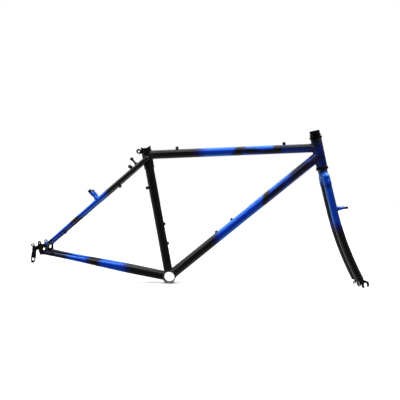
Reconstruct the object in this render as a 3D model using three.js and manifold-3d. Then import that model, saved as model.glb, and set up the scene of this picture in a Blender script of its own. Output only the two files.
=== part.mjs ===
// A steel mountain bicycle frameset: the brazed frame, its threaded headset and its rigid fork.
// It stands as it was set down, on the bottom bracket shell and the two fork ends.
// X runs forward, Y to the rider's left and Z up. Lengths are millimetres and angles degrees.
import * as THREE from "three";
import { mergeVertices } from "three/addons/utils/BufferGeometryUtils.js";
import Module from "manifold-3d";

const wasm = await Module();
wasm.setup();

// ---- Driving dimensions. Points are measured from the centre of the bottom bracket shell. ----
const GAP = 0.3; // left at every brazed or pressed joint
const SIDES = 20; // facets round a tube
const FEW = 10; // facets round a small fitting
const SHELL_SIDES = 28; // facets round the bottom bracket shell
const SHELL = { outer: 20, bore: 17.4, width: 73 };
const SEAT = { lean: 11.53, radius: 14.3, wall: 1.1, top: 431, edgeDip: 6.7 };
const SEAT_LUG = { radius: 16.3, bottom: 357, slotWidth: 2.6, slotLength: 42 };
const BINDER = { back: 23.9, up: 418, radius: 8, hole: 3.8, halfWidth: 13, web: 12, webWidth: 18 };
const HEAD = { lean: 12.88, foot: [488.3, 366.4], length: 91.8, radius: 18, wall: 1.4 };
const TOP = { rear: [-79.9, 394.0], front: [474.4, 427.9], radius: 14.3, wall: 0.9 };
const DOWN = { rear: [0, 1.2], front: [479, 404.2], radius: 15.9, wall: 0.9 };
const AXLE_REAR = [-417.9, 76.8];
const REAR_PLATE_Y = 68; // middle of each rear dropout plate
const PLATE = 6; // thickness of all four dropout plates
const CHAINSTAY = {
  rear: [-392, 72.6], front: [0, 0.6], rearY: 67, frontY: 23.5, wall: 1,
  rearHalf: [6.5, 6.5], frontHalf: [8.2, 13.2], swollenBy: 0.75,
};
const SEATSTAY = {
  rear: [-390.5, 100.5], middle: [-228, 248.4], front: [-79, 383.2], rearY: 67, middleY: 42, frontY: 20,
  rearRadius: 4.9, radius: 8, fullBy: 0.62, wall: 0.9,
};
const BRIDGES = { chainstay: { x: -62, radius: 6.5 }, seatstay: { along: 0.905, radius: 6 }, wall: 1 };
const HANGER = {
  reach: 31.4, root: 5.5, rootTop: 13, neck: 2.4, barrel: 4.9, barrelLength: 9.4, hole: 2.6, lip: 3,
};
const RACK_EYELET = { along: 0.857, reach: 15.6, radius: 5.4, hole: 2.6, width: 7, stem: 7 };
const STAY_PLUG = 4; // solid end of a seat stay at the lug
const STAY_STOPS = { upper: 0.703, lower: 0.163 }; // shares of the seat stay's length
const REAR_STUD = { along: 0.506, reach: 43, profile: [[7, 0], [7, 9], [4.9, 13], [4.9, 22], [6.2, 24]] };
const STOP = {
  radius: 4.3, length: 9.6, ferrule: 2.7, ferruleDepth: 6.24, wire: 1.2, lift: 4.8, footWidth: 6.45,
};
const TOP_STOPS = { rear: 98, front: 446 }; // along the top tube from its seat end
const SEAT_STOP_AT = 296.5;
const BOTTLE = {
  seat: [108, 172], down: [209.5, 273.5], flange: 5.6, flangeUp: 2, flangeSink: 1.5, barrel: 3.1,
  barrelDepth: 7, hole: 2.6,
};
const SCREW = { head: 4.6, rim: 1.2, height: 2.6, crown: 3.2, socket: 1.6, socketFloor: 0.8 };

// Heights in the headset and the fork are measured up the steering axis from the crown race seat.
const STEERER = { radius: 14.3, wall: 1.6, below: 30, above: 126.5 };
const LOWER_STACK = 9.8; // from that seat to the head tube
const HEADSET = {
  pressed: 16.3, pressedDepth: 12, cupBore: 15.4, ballBore: 19.2, lower: 20.3, upper: 21, race: 18.4,
};
const LOCKNUT = {
  low: 18.3, high: 27.8, chamfer: 1, bore: 13.2, lipDepth: 1.4, radius: 17, foot: 16.4, top: 16,
};
const WASHER = { radius: 16, low: 16.7, high: 18 };
const BALLS = {
  pitch: 16.9, radius: 1.98, count: 20, cageWidth: 1.8, cageHeight: 1, lower: 6.3, upper: 6.4,
};
const FORK = {
  crownSlope: 1.43, bladeRadius: 12.4, bladeWall: 1.1, bladeTop: 22, bladeEnd: 369, straight: 130,
  bendRadius: 942, topY: 45, endY: 53, plateY: 53, axle: [53.2, -386.7],
};
const CROWN = {
  armRadius: 13.7, neckRadius: 15.4, neckDrop: 34, seatRadius: 17, socketEnd: 50, socketTop: 40,
  middle: [0, 0, -18], shoulder: [0.3, 22, -20], bend: [0.6, 38, -25],
};
const STUD_BORE = { radius: 2.5, depth: 12 };
const FORK_STUD = { down: 130, reach: 46.8, droop: 7.2, profile: [[7.4, 0], [7.4, 16], [5, 26], [4, 32]] };

// The rear dropouts, measured from the axle. [x, z] points in the frame's plane.
const REAR_SLOT = 5.5; // half the width of the rear wheel slot
const SLOT_DEPTH = 30; // from an axle to past the slot's mouth
const AXLE_SEAT = { radius: 11, rise: 0.5 }; // the raised ring that the axle nut bears on
const REAR_END = {
  outline: [
    [-18.5, -10], [-18.5, 10], [-15, 18], [-7, 17], [-2, 20], [3, 25], [14, 25], [29.5, 26], [29.5, -2],
    [27, -9.5], [8, -10],
  ],
  middle: [10, 9],
  seatTongue: { ends: [[22, 18.5], [44, 38.5]], height: 7.6 },
  chainTongue: { ends: [[20, -1.2], [50, -7]], height: 9.6 },
  window: { ends: [[19.2, 8.4], [20.2, 13]], width: 7 },
  eyes: [[-16.5, 20.3], [4.3, 28.4]],
  eye: { radius: 5.8, hole: 2.6 },
  hanger: { root: [-12.6, -8], hole: [-15, -24.5], width: 15, holeRadius: 4.6 },
  toe: [[-21.5, -36], [-12, -36], [-9, -28], [-20, -28]],
};

// The fork ends, in the steering axis's own frame. [x, z] points again.
const FORK_SLOT = 4.6; // half the width of the front wheel slot
const PRONG_RADIUS = 11.8;
const PRONG_CHAMFER = 1.4;
const FORK_EYE = { place: [33.8, -384.8], root: [44, -378], radius: 4.9, hole: 2.5, width: 6 };
const FORK_TONGUE = { ends: [[44.2, -374], [36.4, -351]], width: 15 };

// ---- Paint and bare metal ----
const finish = (color, roughness, metalness) =>
  new THREE.MeshStandardMaterial({ color, roughness, metalness });
const BLACK = finish(0x08080c, 0.18, 0.0);
const BLUE = finish(0x0a3fd8, 0.2, 0.1);
const NAVY = finish(0x0a1450, 0.2, 0.1);
const BLACK_STEEL = finish(0x141416, 0.35, 0.6);
const BARE = finish(0xb9bcc0, 0.35, 1.0);

// ---- Solids: three.js geometry joined and cut as manifolds ----
const vec = (x, y, z) => new THREE.Vector3(x, y, z);
const radians = THREE.MathUtils.degToRad;
const up = (lean) => vec(-Math.sin(radians(lean)), 0, Math.cos(radians(lean)));
const ahead = (lean) => vec(Math.cos(radians(lean)), 0, Math.sin(radians(lean)));

function solid(geometry) {
  const bare = geometry.clone();
  bare.deleteAttribute("normal");
  bare.deleteAttribute("uv");
  const merged = mergeVertices(bare, 1e-4);
  const mesh = new wasm.Mesh({
    numProp: 3,
    vertProperties: new Float32Array(merged.attributes.position.array),
    triVerts: new Uint32Array(merged.index.array),
  });
  return new wasm.Manifold(mesh);
}

const join = (first, ...rest) => rest.reduce((all, next) => all.add(next), first);
const cut = (first, ...rest) => rest.reduce((all, next) => all.subtract(next), first);

// What a cut leaves of a piece, without the slivers it frees.
const largest = (made) =>
  made.decompose().reduce((best, next) => (next.volume() > best.volume() ? next : best));

function mesh(name, made, material) {
  const data = made.getMesh();
  const geometry = new THREE.BufferGeometry();
  const places = new Float32Array(data.numVert * 3);
  for (let i = 0; i < data.numVert; i++) {
    places.set(data.vertProperties.subarray(i * data.numProp, i * data.numProp + 3), i * 3);
  }
  geometry.setAttribute("position", new THREE.BufferAttribute(places, 3));
  geometry.setIndex(new THREE.BufferAttribute(data.triVerts, 1));
  geometry.computeVertexNormals();
  const piece = new THREE.Mesh(geometry, material);
  piece.name = name;
  return piece;
}

// Turns a geometry made along Y so that it runs along a direction, and moves it to a place.
function along(geometry, direction, place) {
  const turn = new THREE.Quaternion().setFromUnitVectors(vec(0, 1, 0), direction.clone().normalize());
  return geometry.applyQuaternion(turn).translate(place.x, place.y, place.z);
}

// A block with its sides along three directions, centred on a place.
function block(sizes, directions, place) {
  const turn = new THREE.Matrix4().makeBasis(...directions);
  return solid(new THREE.BoxGeometry(...sizes).applyMatrix4(turn).translate(place.x, place.y, place.z));
}

// A round bar centred on a place.
const bar = (place, direction, radius, length, sides = SIDES) =>
  solid(along(new THREE.CylinderGeometry(radius, radius, length, sides), direction, place));

// A turned piece: [radius, height] pairs from the axis round to the axis, or closed on themselves.
function turned(profile, direction, place, sides = SIDES) {
  const outline = profile.map(([radius, height]) => new THREE.Vector2(radius, height));
  return solid(along(new THREE.LatheGeometry(outline, sides), direction, place));
}

// A ring with a rectangular section, from one height to another along a direction.
const ring = (inner, outer, low, high, direction, place, sides = SIDES) =>
  turned([[inner, low], [outer, low], [outer, high], [inner, high], [inner, low]], direction, place, sides);

// A tube along a smooth path, oval and tapered if its half sizes say so.
// half(share) gives the half width across the frame and the half height in the frame's plane.
class Tube {
  constructor(points, half, wall, steps = 1) {
    Object.assign(this, { points, half, wall, steps });
    this.curve = new THREE.CatmullRomCurve3(points, false, "centripetal");
    this.length = this.curve.getLength();
  }

  at(share) {
    return this.curve.getPointAt(share);
  }

  frameAt(share) {
    const T = this.curve.getTangentAt(THREE.MathUtils.clamp(share, 0, 1));
    const reference = Math.abs(T.y) > 0.9 ? vec(1, 0, 0) : vec(0, 1, 0);
    const N = reference.addScaledVector(T, -reference.dot(T)).normalize();
    return { T, N, B: N.clone().cross(T) };
  }

  // The outer shape, grown all round and run on past its two ends.
  body(grow = 0, startExtra = 0, endExtra = 0, sides = SIDES) {
    const geometry = new THREE.CylinderGeometry(1, 1, 1, sides, this.steps);
    const position = geometry.attributes.position;
    for (let i = 0; i < position.count; i++) {
      const run = (position.getY(i) + 0.5) * (this.length + startExtra + endExtra) - startExtra;
      const share = THREE.MathUtils.clamp(run / this.length, 0, 1);
      const { T, N, B } = this.frameAt(share);
      const [width, height] = this.half(share);
      const place = this.at(share).addScaledVector(T, run - share * this.length)
        .addScaledVector(N, position.getX(i) * (width + grow))
        .addScaledVector(B, position.getZ(i) * (height + grow));
      position.setXYZ(i, place.x, place.y, place.z);
    }
    return solid(geometry);
  }

  // The tube itself. A plug is the length of solid metal left at an end; 0 leaves that end open.
  shell(startPlug = 0, endPlug = 0) {
    const over = (plug) => (plug ? -plug : 1);
    return cut(this.body(), this.body(-this.wall, over(startPlug), over(endPlug)));
  }
}

const round = (radius) => () => [radius, radius];
const inPlane = ([x, z], y = 0) => vec(x, y, z);
const lerp = THREE.MathUtils.lerp;

// ---- Main tubes ----
const origin = vec(0, 0, 0);
const seatUp = up(SEAT.lean);
const headUp = up(HEAD.lean);
const headFoot = inPlane(HEAD.foot);
const headAt = (height) => headFoot.clone().addScaledVector(headUp, height);
const seatAt = (height, back = 0) =>
  origin.clone().addScaledVector(seatUp, height).addScaledVector(ahead(SEAT.lean), -back);
const acrossFrame = vec(0, 1, 0);

const shellBody = (grow) =>
  bar(origin, acrossFrame, SHELL.outer + grow, SHELL.width + 2 * grow, SHELL_SIDES);
const headBody = (grow) => bar(headAt(HEAD.length / 2), headUp, HEAD.radius + grow, HEAD.length);
const lugMiddle = (SEAT_LUG.bottom + SEAT.top) / 2;
const lugBody = (grow) =>
  bar(seatAt(lugMiddle), seatUp, SEAT_LUG.radius + grow, SEAT.top - SEAT_LUG.bottom + 2 * grow);

const seatTube = new Tube([origin, seatAt(SEAT.top - 2)], round(SEAT.radius), SEAT.wall);
const topTube = new Tube([inPlane(TOP.rear), inPlane(TOP.front)], round(TOP.radius), TOP.wall);
const downTube = new Tube([inPlane(DOWN.rear), inPlane(DOWN.front)], round(DOWN.radius), DOWN.wall);

// The rounded dip across the seat lug's open top.
function seatTopCut() {
  const radius = (SEAT_LUG.radius ** 2 + SEAT.edgeDip ** 2) / (2 * SEAT.edgeDip);
  return bar(seatAt(SEAT.top - SEAT.edgeDip + radius), acrossFrame, radius, 60, 32);
}

// The slot that lets the seat lug close on its post. It runs on past the lug's top and back.
function seatSlot() {
  const over = 10;
  const depth = 40;
  const place = seatAt(SEAT.top - SEAT_LUG.slotLength / 2 + over / 2, BINDER.back);
  const directions = [acrossFrame, seatUp, acrossFrame.clone().cross(seatUp)];
  return block([SEAT_LUG.slotWidth, SEAT_LUG.slotLength + over, depth], directions, place);
}

// ---- Bottle bosses: a threaded barrel let into the tube, with a button screw in it ----
const bossHole = (place, out) => bar(place, out, BOTTLE.barrel + GAP, 2 * BOTTLE.barrelDepth, FEW);

function bottleBoss(place, out, wallOfTube) {
  const flange = ring(BOTTLE.hole, BOTTLE.flange, -BOTTLE.flangeSink, BOTTLE.flangeUp, out, place, FEW);
  const barrel = ring(BOTTLE.hole, BOTTLE.barrel, -BOTTLE.barrelDepth, 0, out, place, FEW);
  return join(cut(flange, wallOfTube), barrel);
}

function bottleScrew(place, out) {
  const head = BOTTLE.flangeUp + GAP;
  const shank = BOTTLE.hole - GAP;
  const foot = -BOTTLE.barrelDepth;
  const profile = [
    [0, foot], [shank, foot], [shank, head], [SCREW.head, head], [SCREW.head, head + SCREW.rim],
    [SCREW.crown, head + SCREW.height], [SCREW.socket, head + SCREW.height],
    [SCREW.socket, head + SCREW.socketFloor],
    [0, head + SCREW.socketFloor],
  ];
  return turned(profile, out, place, FEW);
}

// ---- Cable stops: a drilled barrel lying along a tube, with a foot down to it ----
function cableStop(place, run, out, tubeBody) {
  const sink = 2; // how far the foot runs on into the tube before it is cut to it
  const centre = place.clone().addScaledVector(out, STOP.lift);
  const middle = place.clone().addScaledVector(out, (STOP.lift - sink) / 2);
  const side = out.clone().cross(run).normalize();
  const barrel = bar(centre, run, STOP.radius, STOP.length, FEW);
  const sizes = [STOP.footWidth, STOP.lift + sink, STOP.length];
  const foot = block(sizes, [side, out, side.clone().cross(out)], middle);
  const mouth = centre.clone().addScaledVector(run, STOP.length / 2);
  const ferrule = bar(mouth, run, STOP.ferrule, 2 * STOP.ferruleDepth, 8);
  const wire = bar(centre, run, STOP.wire, 3 * STOP.length, 6);
  return cut(join(barrel, foot), tubeBody, ferrule, wire);
}

// ---- Rear triangle ----
const chainstay = (side) =>
  new Tube(
    [inPlane(CHAINSTAY.rear, CHAINSTAY.rearY * side), inPlane(CHAINSTAY.front, CHAINSTAY.frontY * side)],
    (share) => {
      const swell = THREE.MathUtils.smoothstep(share, 0.05, CHAINSTAY.swollenBy);
      return [0, 1].map((i) => lerp(CHAINSTAY.rearHalf[i], CHAINSTAY.frontHalf[i], swell));
    },
    CHAINSTAY.wall, 6,
  );
const staySize = (share) => lerp(SEATSTAY.rearRadius, SEATSTAY.radius, Math.min(1, share / SEATSTAY.fullBy));
const seatstay = (side) =>
  new Tube(
    ["rear", "middle", "front"].map((end) => inPlane(SEATSTAY[end], SEATSTAY[end + "Y"] * side)),
    (share) => [staySize(share), staySize(share)], SEATSTAY.wall, 6,
  );

// A point off a seat stay: at a share of its length, and out from its middle in the frame's plane.
function offStay(stay, share, reach) {
  const { T } = stay.frameAt(share);
  const out = vec(-T.z, 0, T.x).normalize();
  return { place: stay.at(share).addScaledVector(out, reach), out, run: T };
}

// Flat plate pieces lie in the XZ plane of their group, with their thickness across Y.
function plate(outline, y, thick = PLATE) {
  const shape = new THREE.Shape(outline.map(([x, z]) => new THREE.Vector2(x, z)));
  const geometry = new THREE.ExtrudeGeometry(shape, { depth: thick, bevelEnabled: false });
  return solid(geometry.rotateX(Math.PI / 2).translate(0, y + thick / 2, 0));
}

// An outline spread from a middle point, so that each corner clears the first by at least grow.
function spread(outline, [mx, mz], grow) {
  const factor = 1 + grow / 8;
  return outline.map(([x, z]) => [mx + (x - mx) * factor, mz + (z - mz) * factor]);
}
const disc = ([x, z], y, radius, thick = PLATE, sides = 16) =>
  bar(vec(x, y, z), acrossFrame, radius, thick, sides);

// A straight strap between two points, rounded at both ends.
function strap([ax, az], [bx, bz], y, width, thick = PLATE) {
  const run = vec(bx - ax, 0, bz - az);
  const T = run.clone().normalize();
  const middle = vec((ax + bx) / 2, y, (az + bz) / 2);
  const box = block([width, run.length(), thick], [T.clone().cross(acrossFrame), T, acrossFrame], middle);
  return join(box, disc([ax, az], y, width / 2, thick), disc([bx, bz], y, width / 2, thick));
}

const rearPoint = ([dx, dz]) => [AXLE_REAR[0] + dx, AXLE_REAR[1] + dz];

// The tongues brazed into the two stays.
const rearTongues = (y, thick, grow) =>
  [REAR_END.seatTongue, REAR_END.chainTongue].map(({ ends, height }) =>
    strap(...ends.map(rearPoint), y, height + 2 * grow, thick),
  );

// The room that a rear dropout takes up in the stays.
function rearDropoutRoom(side) {
  const y = REAR_PLATE_Y * side;
  const thick = PLATE + 2 * GAP;
  const outline = spread(REAR_END.outline.map(rearPoint), rearPoint(REAR_END.middle), GAP);
  return join(plate(outline, y, thick), ...rearTongues(y, thick, GAP));
}

// The rear dropout: a slot open downward, a raised seat for the axle nut, two eyes, a lightening window
// and the two tongues. The right one also carries the gear hanger.
function rearDropout(side) {
  const y = REAR_PLATE_Y * side;
  const through = PLATE + 2;
  const { outline, eyes, eye, window, hanger, toe } = REAR_END;
  const right = side < 0;
  const seatY = y + (side * AXLE_SEAT.rise) / 2;
  const axleSeat = disc(AXLE_REAR, seatY, AXLE_SEAT.radius, PLATE + AXLE_SEAT.rise);
  const lobes = eyes.map((point) => disc(rearPoint(point), y, eye.radius));
  const gearHanger = () => [
    strap(rearPoint(hanger.root), rearPoint(hanger.hole), y, hanger.width),
    plate(toe.map(rearPoint), y),
  ];
  const made = join(
    plate(outline.map(rearPoint), y), ...rearTongues(y, PLATE, 0), axleSeat, ...lobes,
    ...(right ? gearHanger() : []),
  );
  return cut(
    made,
    strap(AXLE_REAR, rearPoint([0, -SLOT_DEPTH]), y, 2 * REAR_SLOT, through),
    ...eyes.map((point) => disc(rearPoint(point), y, eye.hole, through, FEW)),
    strap(...window.ends.map(rearPoint), y, window.width, through),
    ...(right ? [disc(rearPoint(hanger.hole), y, hanger.holeRadius, through)] : []),
  );
}

// A cantilever brake post: a collar at the stay, the pivot and a tapped end.
function brakeStud(place, out, { reach, profile }) {
  const { radius, depth } = STUD_BORE;
  const end = [[profile.at(-1)[0], reach], [radius, reach], [radius, reach - depth], [0, reach - depth]];
  return turned([[0, 0], ...profile, ...end], out, place, FEW);
}

// A drilled ear that stands off a seat stay.
function rackEyelet(stay) {
  const eye = offStay(stay, RACK_EYELET.along, RACK_EYELET.reach).place;
  const foot = offStay(stay, RACK_EYELET.along, SEATSTAY.radius - 1).place;
  const ends = [foot, eye].map(({ x, z }) => [x, z]);
  const stem = strap(...ends, eye.y, RACK_EYELET.stem, RACK_EYELET.width);
  const ear = disc(ends[1], eye.y, RACK_EYELET.radius, RACK_EYELET.width);
  const hole = disc(ends[1], eye.y, RACK_EYELET.hole, RACK_EYELET.width + 2, FEW);
  return cut(join(ear, stem), hole, stay.body(GAP));
}

// A cross tube between the two stays of a pair, whose left one it meets at a place.
function bridge(place, radius) {
  const stays = [chainstay(1), chainstay(-1), seatstay(1), seatstay(-1)].map((stay) => stay.body(GAP));
  const tube = ring(radius - BRIDGES.wall, radius, -place.y, place.y, acrossFrame, vec(place.x, 0, place.z));
  return cut(tube, ...stays);
}

// The brake cable's stop, on a stalk above the upper bridge.
function cableHanger(place) {
  const { out } = offStay(seatstay(1), BRIDGES.seatstay.along, 0);
  const low = HANGER.reach - HANGER.barrelLength / 2;
  const high = HANGER.reach + HANGER.barrelLength / 2;
  const stalk = turned(
    [
      [0, 0], [HANGER.root, 0], [HANGER.root, HANGER.rootTop], [HANGER.neck, HANGER.rootTop + 1],
      [HANGER.neck, low],
      [HANGER.barrel, low], [HANGER.barrel, high], [HANGER.hole, high], [HANGER.hole, low + HANGER.lip],
      [0, low + HANGER.lip],
    ],
    out, place, FEW,
  );
  return cut(stalk, bar(place, acrossFrame, BRIDGES.seatstay.radius + GAP, 60));
}

function rearTriangle() {
  const pieces = [];
  for (const [side, hand] of [[1, "left"], [-1, "right"]]) {
    const chain = chainstay(side);
    const seat = seatstay(side);
    const room = rearDropoutRoom(side);
    const seatstayCut = largest(cut(seat.shell(0, STAY_PLUG), room, lugBody(GAP), topTube.body(GAP)));
    pieces.push(mesh("chainstay_" + hand, cut(chain.shell(), room, shellBody(GAP)), NAVY));
    pieces.push(mesh("seatstay_" + hand, seatstayCut, BLUE));
    pieces.push(mesh("rear_dropout_" + hand, rearDropout(side), BLACK));

    const stud = offStay(seat, REAR_STUD.along, 0);
    const post = brakeStud(stud.place, stud.out, REAR_STUD);
    pieces.push(mesh("rear_brake_stud_" + hand, cut(post, seat.body(GAP)), BLUE));
    pieces.push(mesh("rack_eyelet_" + hand, rackEyelet(seat), BLACK));
  }

  const right = seatstay(-1);
  for (const [name, share] of Object.entries(STAY_STOPS)) {
    const { out, run } = offStay(right, share, 0);
    const under = out.clone().negate();
    const place = right.at(share).addScaledVector(under, staySize(share));
    pieces.push(mesh("seatstay_cable_stop_" + name, cableStop(place, run, under, right.body(GAP)), BLACK));
  }

  const chainAt = chainstay(1).at(1 + BRIDGES.chainstay.x / (CHAINSTAY.front[0] - CHAINSTAY.rear[0]));
  const seatAlong = seatstay(1).at(BRIDGES.seatstay.along);
  pieces.push(mesh("chainstay_bridge", bridge(chainAt, BRIDGES.chainstay.radius), BLACK));
  pieces.push(mesh("seatstay_bridge", bridge(seatAlong, BRIDGES.seatstay.radius), BLACK));
  pieces.push(mesh("brake_cable_hanger", cableHanger(vec(seatAlong.x, 0, seatAlong.z)), BLACK));
  return pieces;
}

// ---- Front triangle ----
function frontTriangle() {
  const seatBosses = BOTTLE.seat.map((run) => [seatAt(run, -SEAT.radius), ahead(SEAT.lean)]);
  const downRun = inPlane(DOWN.front).sub(inPlane(DOWN.rear)).normalize();
  const downOut = vec(-downRun.z, 0, downRun.x);
  const downBosses = BOTTLE.down.map((run) => [
    inPlane(DOWN.rear).addScaledVector(downRun, run).addScaledVector(downOut, DOWN.radius), downOut,
  ]);
  const holes = (bosses) => bosses.map(([place, out]) => bossHole(place, out));

  const seat = cut(seatTube.shell(), shellBody(GAP), seatTopCut(), seatSlot(), ...holes(seatBosses));
  const bore = bar(seatAt(SEAT.top / 2 + 200), seatUp, SEAT.radius + GAP, SEAT.top);
  const binder = seatAt(BINDER.up, BINDER.back);
  const webEnds = [seatAt(BINDER.up - 3, 14), seatAt(BINDER.up - 2, BINDER.back)].map(({ x, z }) => [x, z]);
  const ears = [
    bar(binder, acrossFrame, BINDER.radius, 2 * BINDER.halfWidth),
    strap(...webEnds, 0, BINDER.web, BINDER.webWidth),
  ];
  const lug = cut(
    join(lugBody(0), ...ears), bore, seatTopCut(), seatSlot(),
    bar(binder, acrossFrame, BINDER.hole, 4 * BINDER.halfWidth, FEW),
  );
  const half = SHELL.width / 2;
  const shell = ring(SHELL.bore, SHELL.outer, -half, half, acrossFrame, origin, SHELL_SIDES);
  const head = ring(HEAD.radius - HEAD.wall, HEAD.radius, 0, HEAD.length, headUp, headFoot);
  const top = cut(topTube.shell(), lugBody(GAP), headBody(GAP));
  const downMates = [headBody(GAP), shellBody(GAP), seatTube.body(GAP), topTube.body(GAP)];
  const down = cut(downTube.shell(), ...downMates, ...holes(downBosses));

  const topRun = inPlane(TOP.front).sub(inPlane(TOP.rear)).normalize();
  const topOut = vec(-topRun.z, 0, topRun.x);
  const onTop = (run) => inPlane(TOP.rear).addScaledVector(topRun, run).addScaledVector(topOut, TOP.radius);
  const topBody = topTube.body(GAP);
  const rearStop = cableStop(onTop(TOP_STOPS.rear), topRun.clone().negate(), topOut, topBody);
  const frontStop = cableStop(onTop(TOP_STOPS.front), topRun, topOut, topBody);
  const seatOut = ahead(SEAT.lean).negate();
  const seatStop = cableStop(seatAt(SEAT_STOP_AT, SEAT.radius), seatUp, seatOut, seatTube.body(GAP));
  const pieces = [
    mesh("seat_tube", seat, BLACK),
    mesh("seat_lug", lug, BLACK),
    mesh("bottom_bracket_shell", shell, BLACK),
    mesh("head_tube", head, NAVY),
    mesh("top_tube", top, BLUE),
    mesh("down_tube", down, BLUE),
    mesh("toptube_cable_stop_rear", rearStop, BLACK),
    mesh("toptube_cable_stop_front", frontStop, BLACK),
    mesh("seattube_cable_stop", seatStop, BLACK),
  ];
  const bosses = [["seattube", seatBosses, seatTube], ["downtube", downBosses, downTube]];
  for (const [tubeName, places, tube] of bosses) {
    places.forEach(([place, out], i) => {
      const end = ["lower", "upper"][i];
      pieces.push(mesh(`${tubeName}_bottle_boss_${end}`, bottleBoss(place, out, tube.body(GAP)), BLACK));
      pieces.push(mesh(`${tubeName}_bottle_screw_${end}`, bottleScrew(place, out), BLACK_STEEL));
    });
  }
  return pieces;
}

// ---- Headset and fork, in the steering axis's own group: Z up the axis, 0 at the crown race seat ----
const axis = vec(0, 0, 1);
const lathe = (profile, sides) => turned(profile, axis, origin, sides);
const hollow = (inner, outer, low, high, sides) => ring(inner, outer, low, high, axis, origin, sides);

// Balls held in a cage ring, as one piece.
function ballRetainer(height) {
  const { pitch, radius, count, cageWidth, cageHeight } = BALLS;
  let made = hollow(
    pitch - cageWidth / 2, pitch + cageWidth / 2, height - cageHeight / 2, height + cageHeight / 2, count,
  );
  for (let i = 0; i < count; i++) {
    const angle = (i / count) * 2 * Math.PI;
    const sphere = new THREE.IcosahedronGeometry(radius, 0);
    made = made.add(solid(sphere.translate(pitch * Math.cos(angle), pitch * Math.sin(angle), height)));
  }
  return made;
}

// The profiles are [radius, height] pairs, closed on themselves.
function headset() {
  const { pressed, pressedDepth, cupBore, ballBore, lower, upper, race } = HEADSET;
  const foot = LOWER_STACK; // the head tube's lower face
  const top = LOWER_STACK + HEAD.length; // and its upper one
  const thread = STEERER.radius + GAP;
  const lowerCup = lathe([
    [cupBore, foot + pressedDepth], [cupBore, foot - 1.2], [ballBore, foot - 1.2], [ballBore, 0.9],
    [lower, 0.9],
    [lower, foot - 2], [19, foot - GAP], [pressed, foot - GAP], [pressed, foot + pressedDepth],
    [cupBore, foot + pressedDepth],
  ]);
  const upperCup = lathe([
    [cupBore, top - pressedDepth], [pressed, top - pressedDepth], [pressed, top + GAP], [19, top + GAP],
    [19.5, top + 2.2], [upper, top + 4.2], [upper, top + 8], [ballBore, top + 8], [ballBore, top + 4.2],
    [cupBore, top + 4.2], [cupBore, top - pressedDepth],
  ]);
  const crownRace = lathe([
    [thread, GAP], [race, GAP], [race, 1.4], [cupBore, 4.2], [thread, 4.2], [thread, GAP],
  ]);
  const adjusting = lathe([
    [thread, top + 8.6], [cupBore, top + 8.6], [race, top + 9.4], [race, top + 15.4], [race - 1, top + 16.4],
    [thread, top + 16.4], [thread, top + 8.6],
  ]);
  const [nutLow, nutHigh] = [top + LOCKNUT.low, top + LOCKNUT.high];
  const lock = lathe([
    [thread, nutLow], [LOCKNUT.foot, nutLow], [LOCKNUT.radius, nutLow + LOCKNUT.chamfer],
    [LOCKNUT.radius, nutHigh - LOCKNUT.lipDepth], [LOCKNUT.top, nutHigh], [LOCKNUT.bore, nutHigh],
    [LOCKNUT.bore, nutHigh - LOCKNUT.lipDepth], [thread, nutHigh - LOCKNUT.lipDepth], [thread, nutLow],
  ], 24);
  return {
    fixed: [mesh("lower_head_cup", lowerCup, BLACK_STEEL), mesh("upper_head_cup", upperCup, BLACK_STEEL)],
    turning: [
      mesh("crown_race", crownRace, BARE),
      mesh("adjusting_race", adjusting, BLACK_STEEL),
      mesh("keyed_washer", hollow(thread, WASHER.radius, top + WASHER.low, top + WASHER.high), BLACK_STEEL),
      mesh("locknut", lock, BLACK_STEEL),
      mesh("lower_ball_retainer", ballRetainer(BALLS.lower), BARE),
      mesh("upper_ball_retainer", ballRetainer(top + BALLS.upper), BARE),
    ],
  };
}

// Where a blade's centre line is, a distance down it from the crown: straight, then an even forward bend.
function bladePoint(down, side) {
  const bent = Math.max(0, down - FORK.straight);
  const forward = Math.tan(radians(FORK.crownSlope)) * down + bent ** 2 / (2 * FORK.bendRadius);
  const share = THREE.MathUtils.clamp((down - FORK.bladeTop) / (FORK.bladeEnd - FORK.bladeTop), 0, 1);
  return vec(forward, lerp(FORK.topY, FORK.endY, share) * side, -down);
}

function blade(side) {
  const count = 9;
  const down = (i) => lerp(FORK.bladeTop, FORK.bladeEnd, i / (count - 1));
  const points = Array.from({ length: count }, (_, i) => bladePoint(down(i), side));
  return new Tube(points, round(FORK.bladeRadius), FORK.bladeWall, 9);
}

// How far below the axle the fork end reaches, so that it and the shell stand on one floor.
function prongDrop() {
  const seatHeight = headAt(-LOWER_STACK).z;
  const lean = radians(HEAD.lean);
  const rearEdge = FORK.axle[0] - PRONG_RADIUS + PRONG_CHAMFER;
  const floor = -SHELL.outer;
  return (seatHeight + FORK.axle[1] * Math.cos(lean) + rearEdge * Math.sin(lean) - floor) / Math.cos(lean);
}

const forkTongue = (side, thick, grow) =>
  strap(...FORK_TONGUE.ends, FORK.plateY * side, FORK_TONGUE.width + 2 * grow, thick);

// A fork end: a hook with its slot open downward, a mudguard eye, and the tongue let into the blade.
function forkDropout(side) {
  const y = FORK.plateY * side;
  const through = PLATE + 2;
  const [ax, az] = FORK.axle;
  const [left, right, low] = [ax - PRONG_RADIUS, ax + PRONG_RADIUS, az - prongDrop()];
  const outline = [
    [left + PRONG_CHAMFER, low], [left, low + 2], [left, az + 1], [31, -371], [46, -368],
    [right - 1, az + 6], [right, az],
    [right, low + 4], [right - 3, low + 0.6],
  ];
  const { place, root, radius, hole, width } = FORK_EYE;
  const pieces = [disc(FORK.axle, y, PRONG_RADIUS), disc(place, y, radius), strap(place, root, y, width)];
  const slot = strap(FORK.axle, [ax, az - SLOT_DEPTH], y, 2 * FORK_SLOT, through);
  const eyeHole = disc(place, y, hole, through, FEW);
  return cut(join(plate(outline, y), forkTongue(side, PLATE, 0), ...pieces), slot, eyeHole);
}

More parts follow.
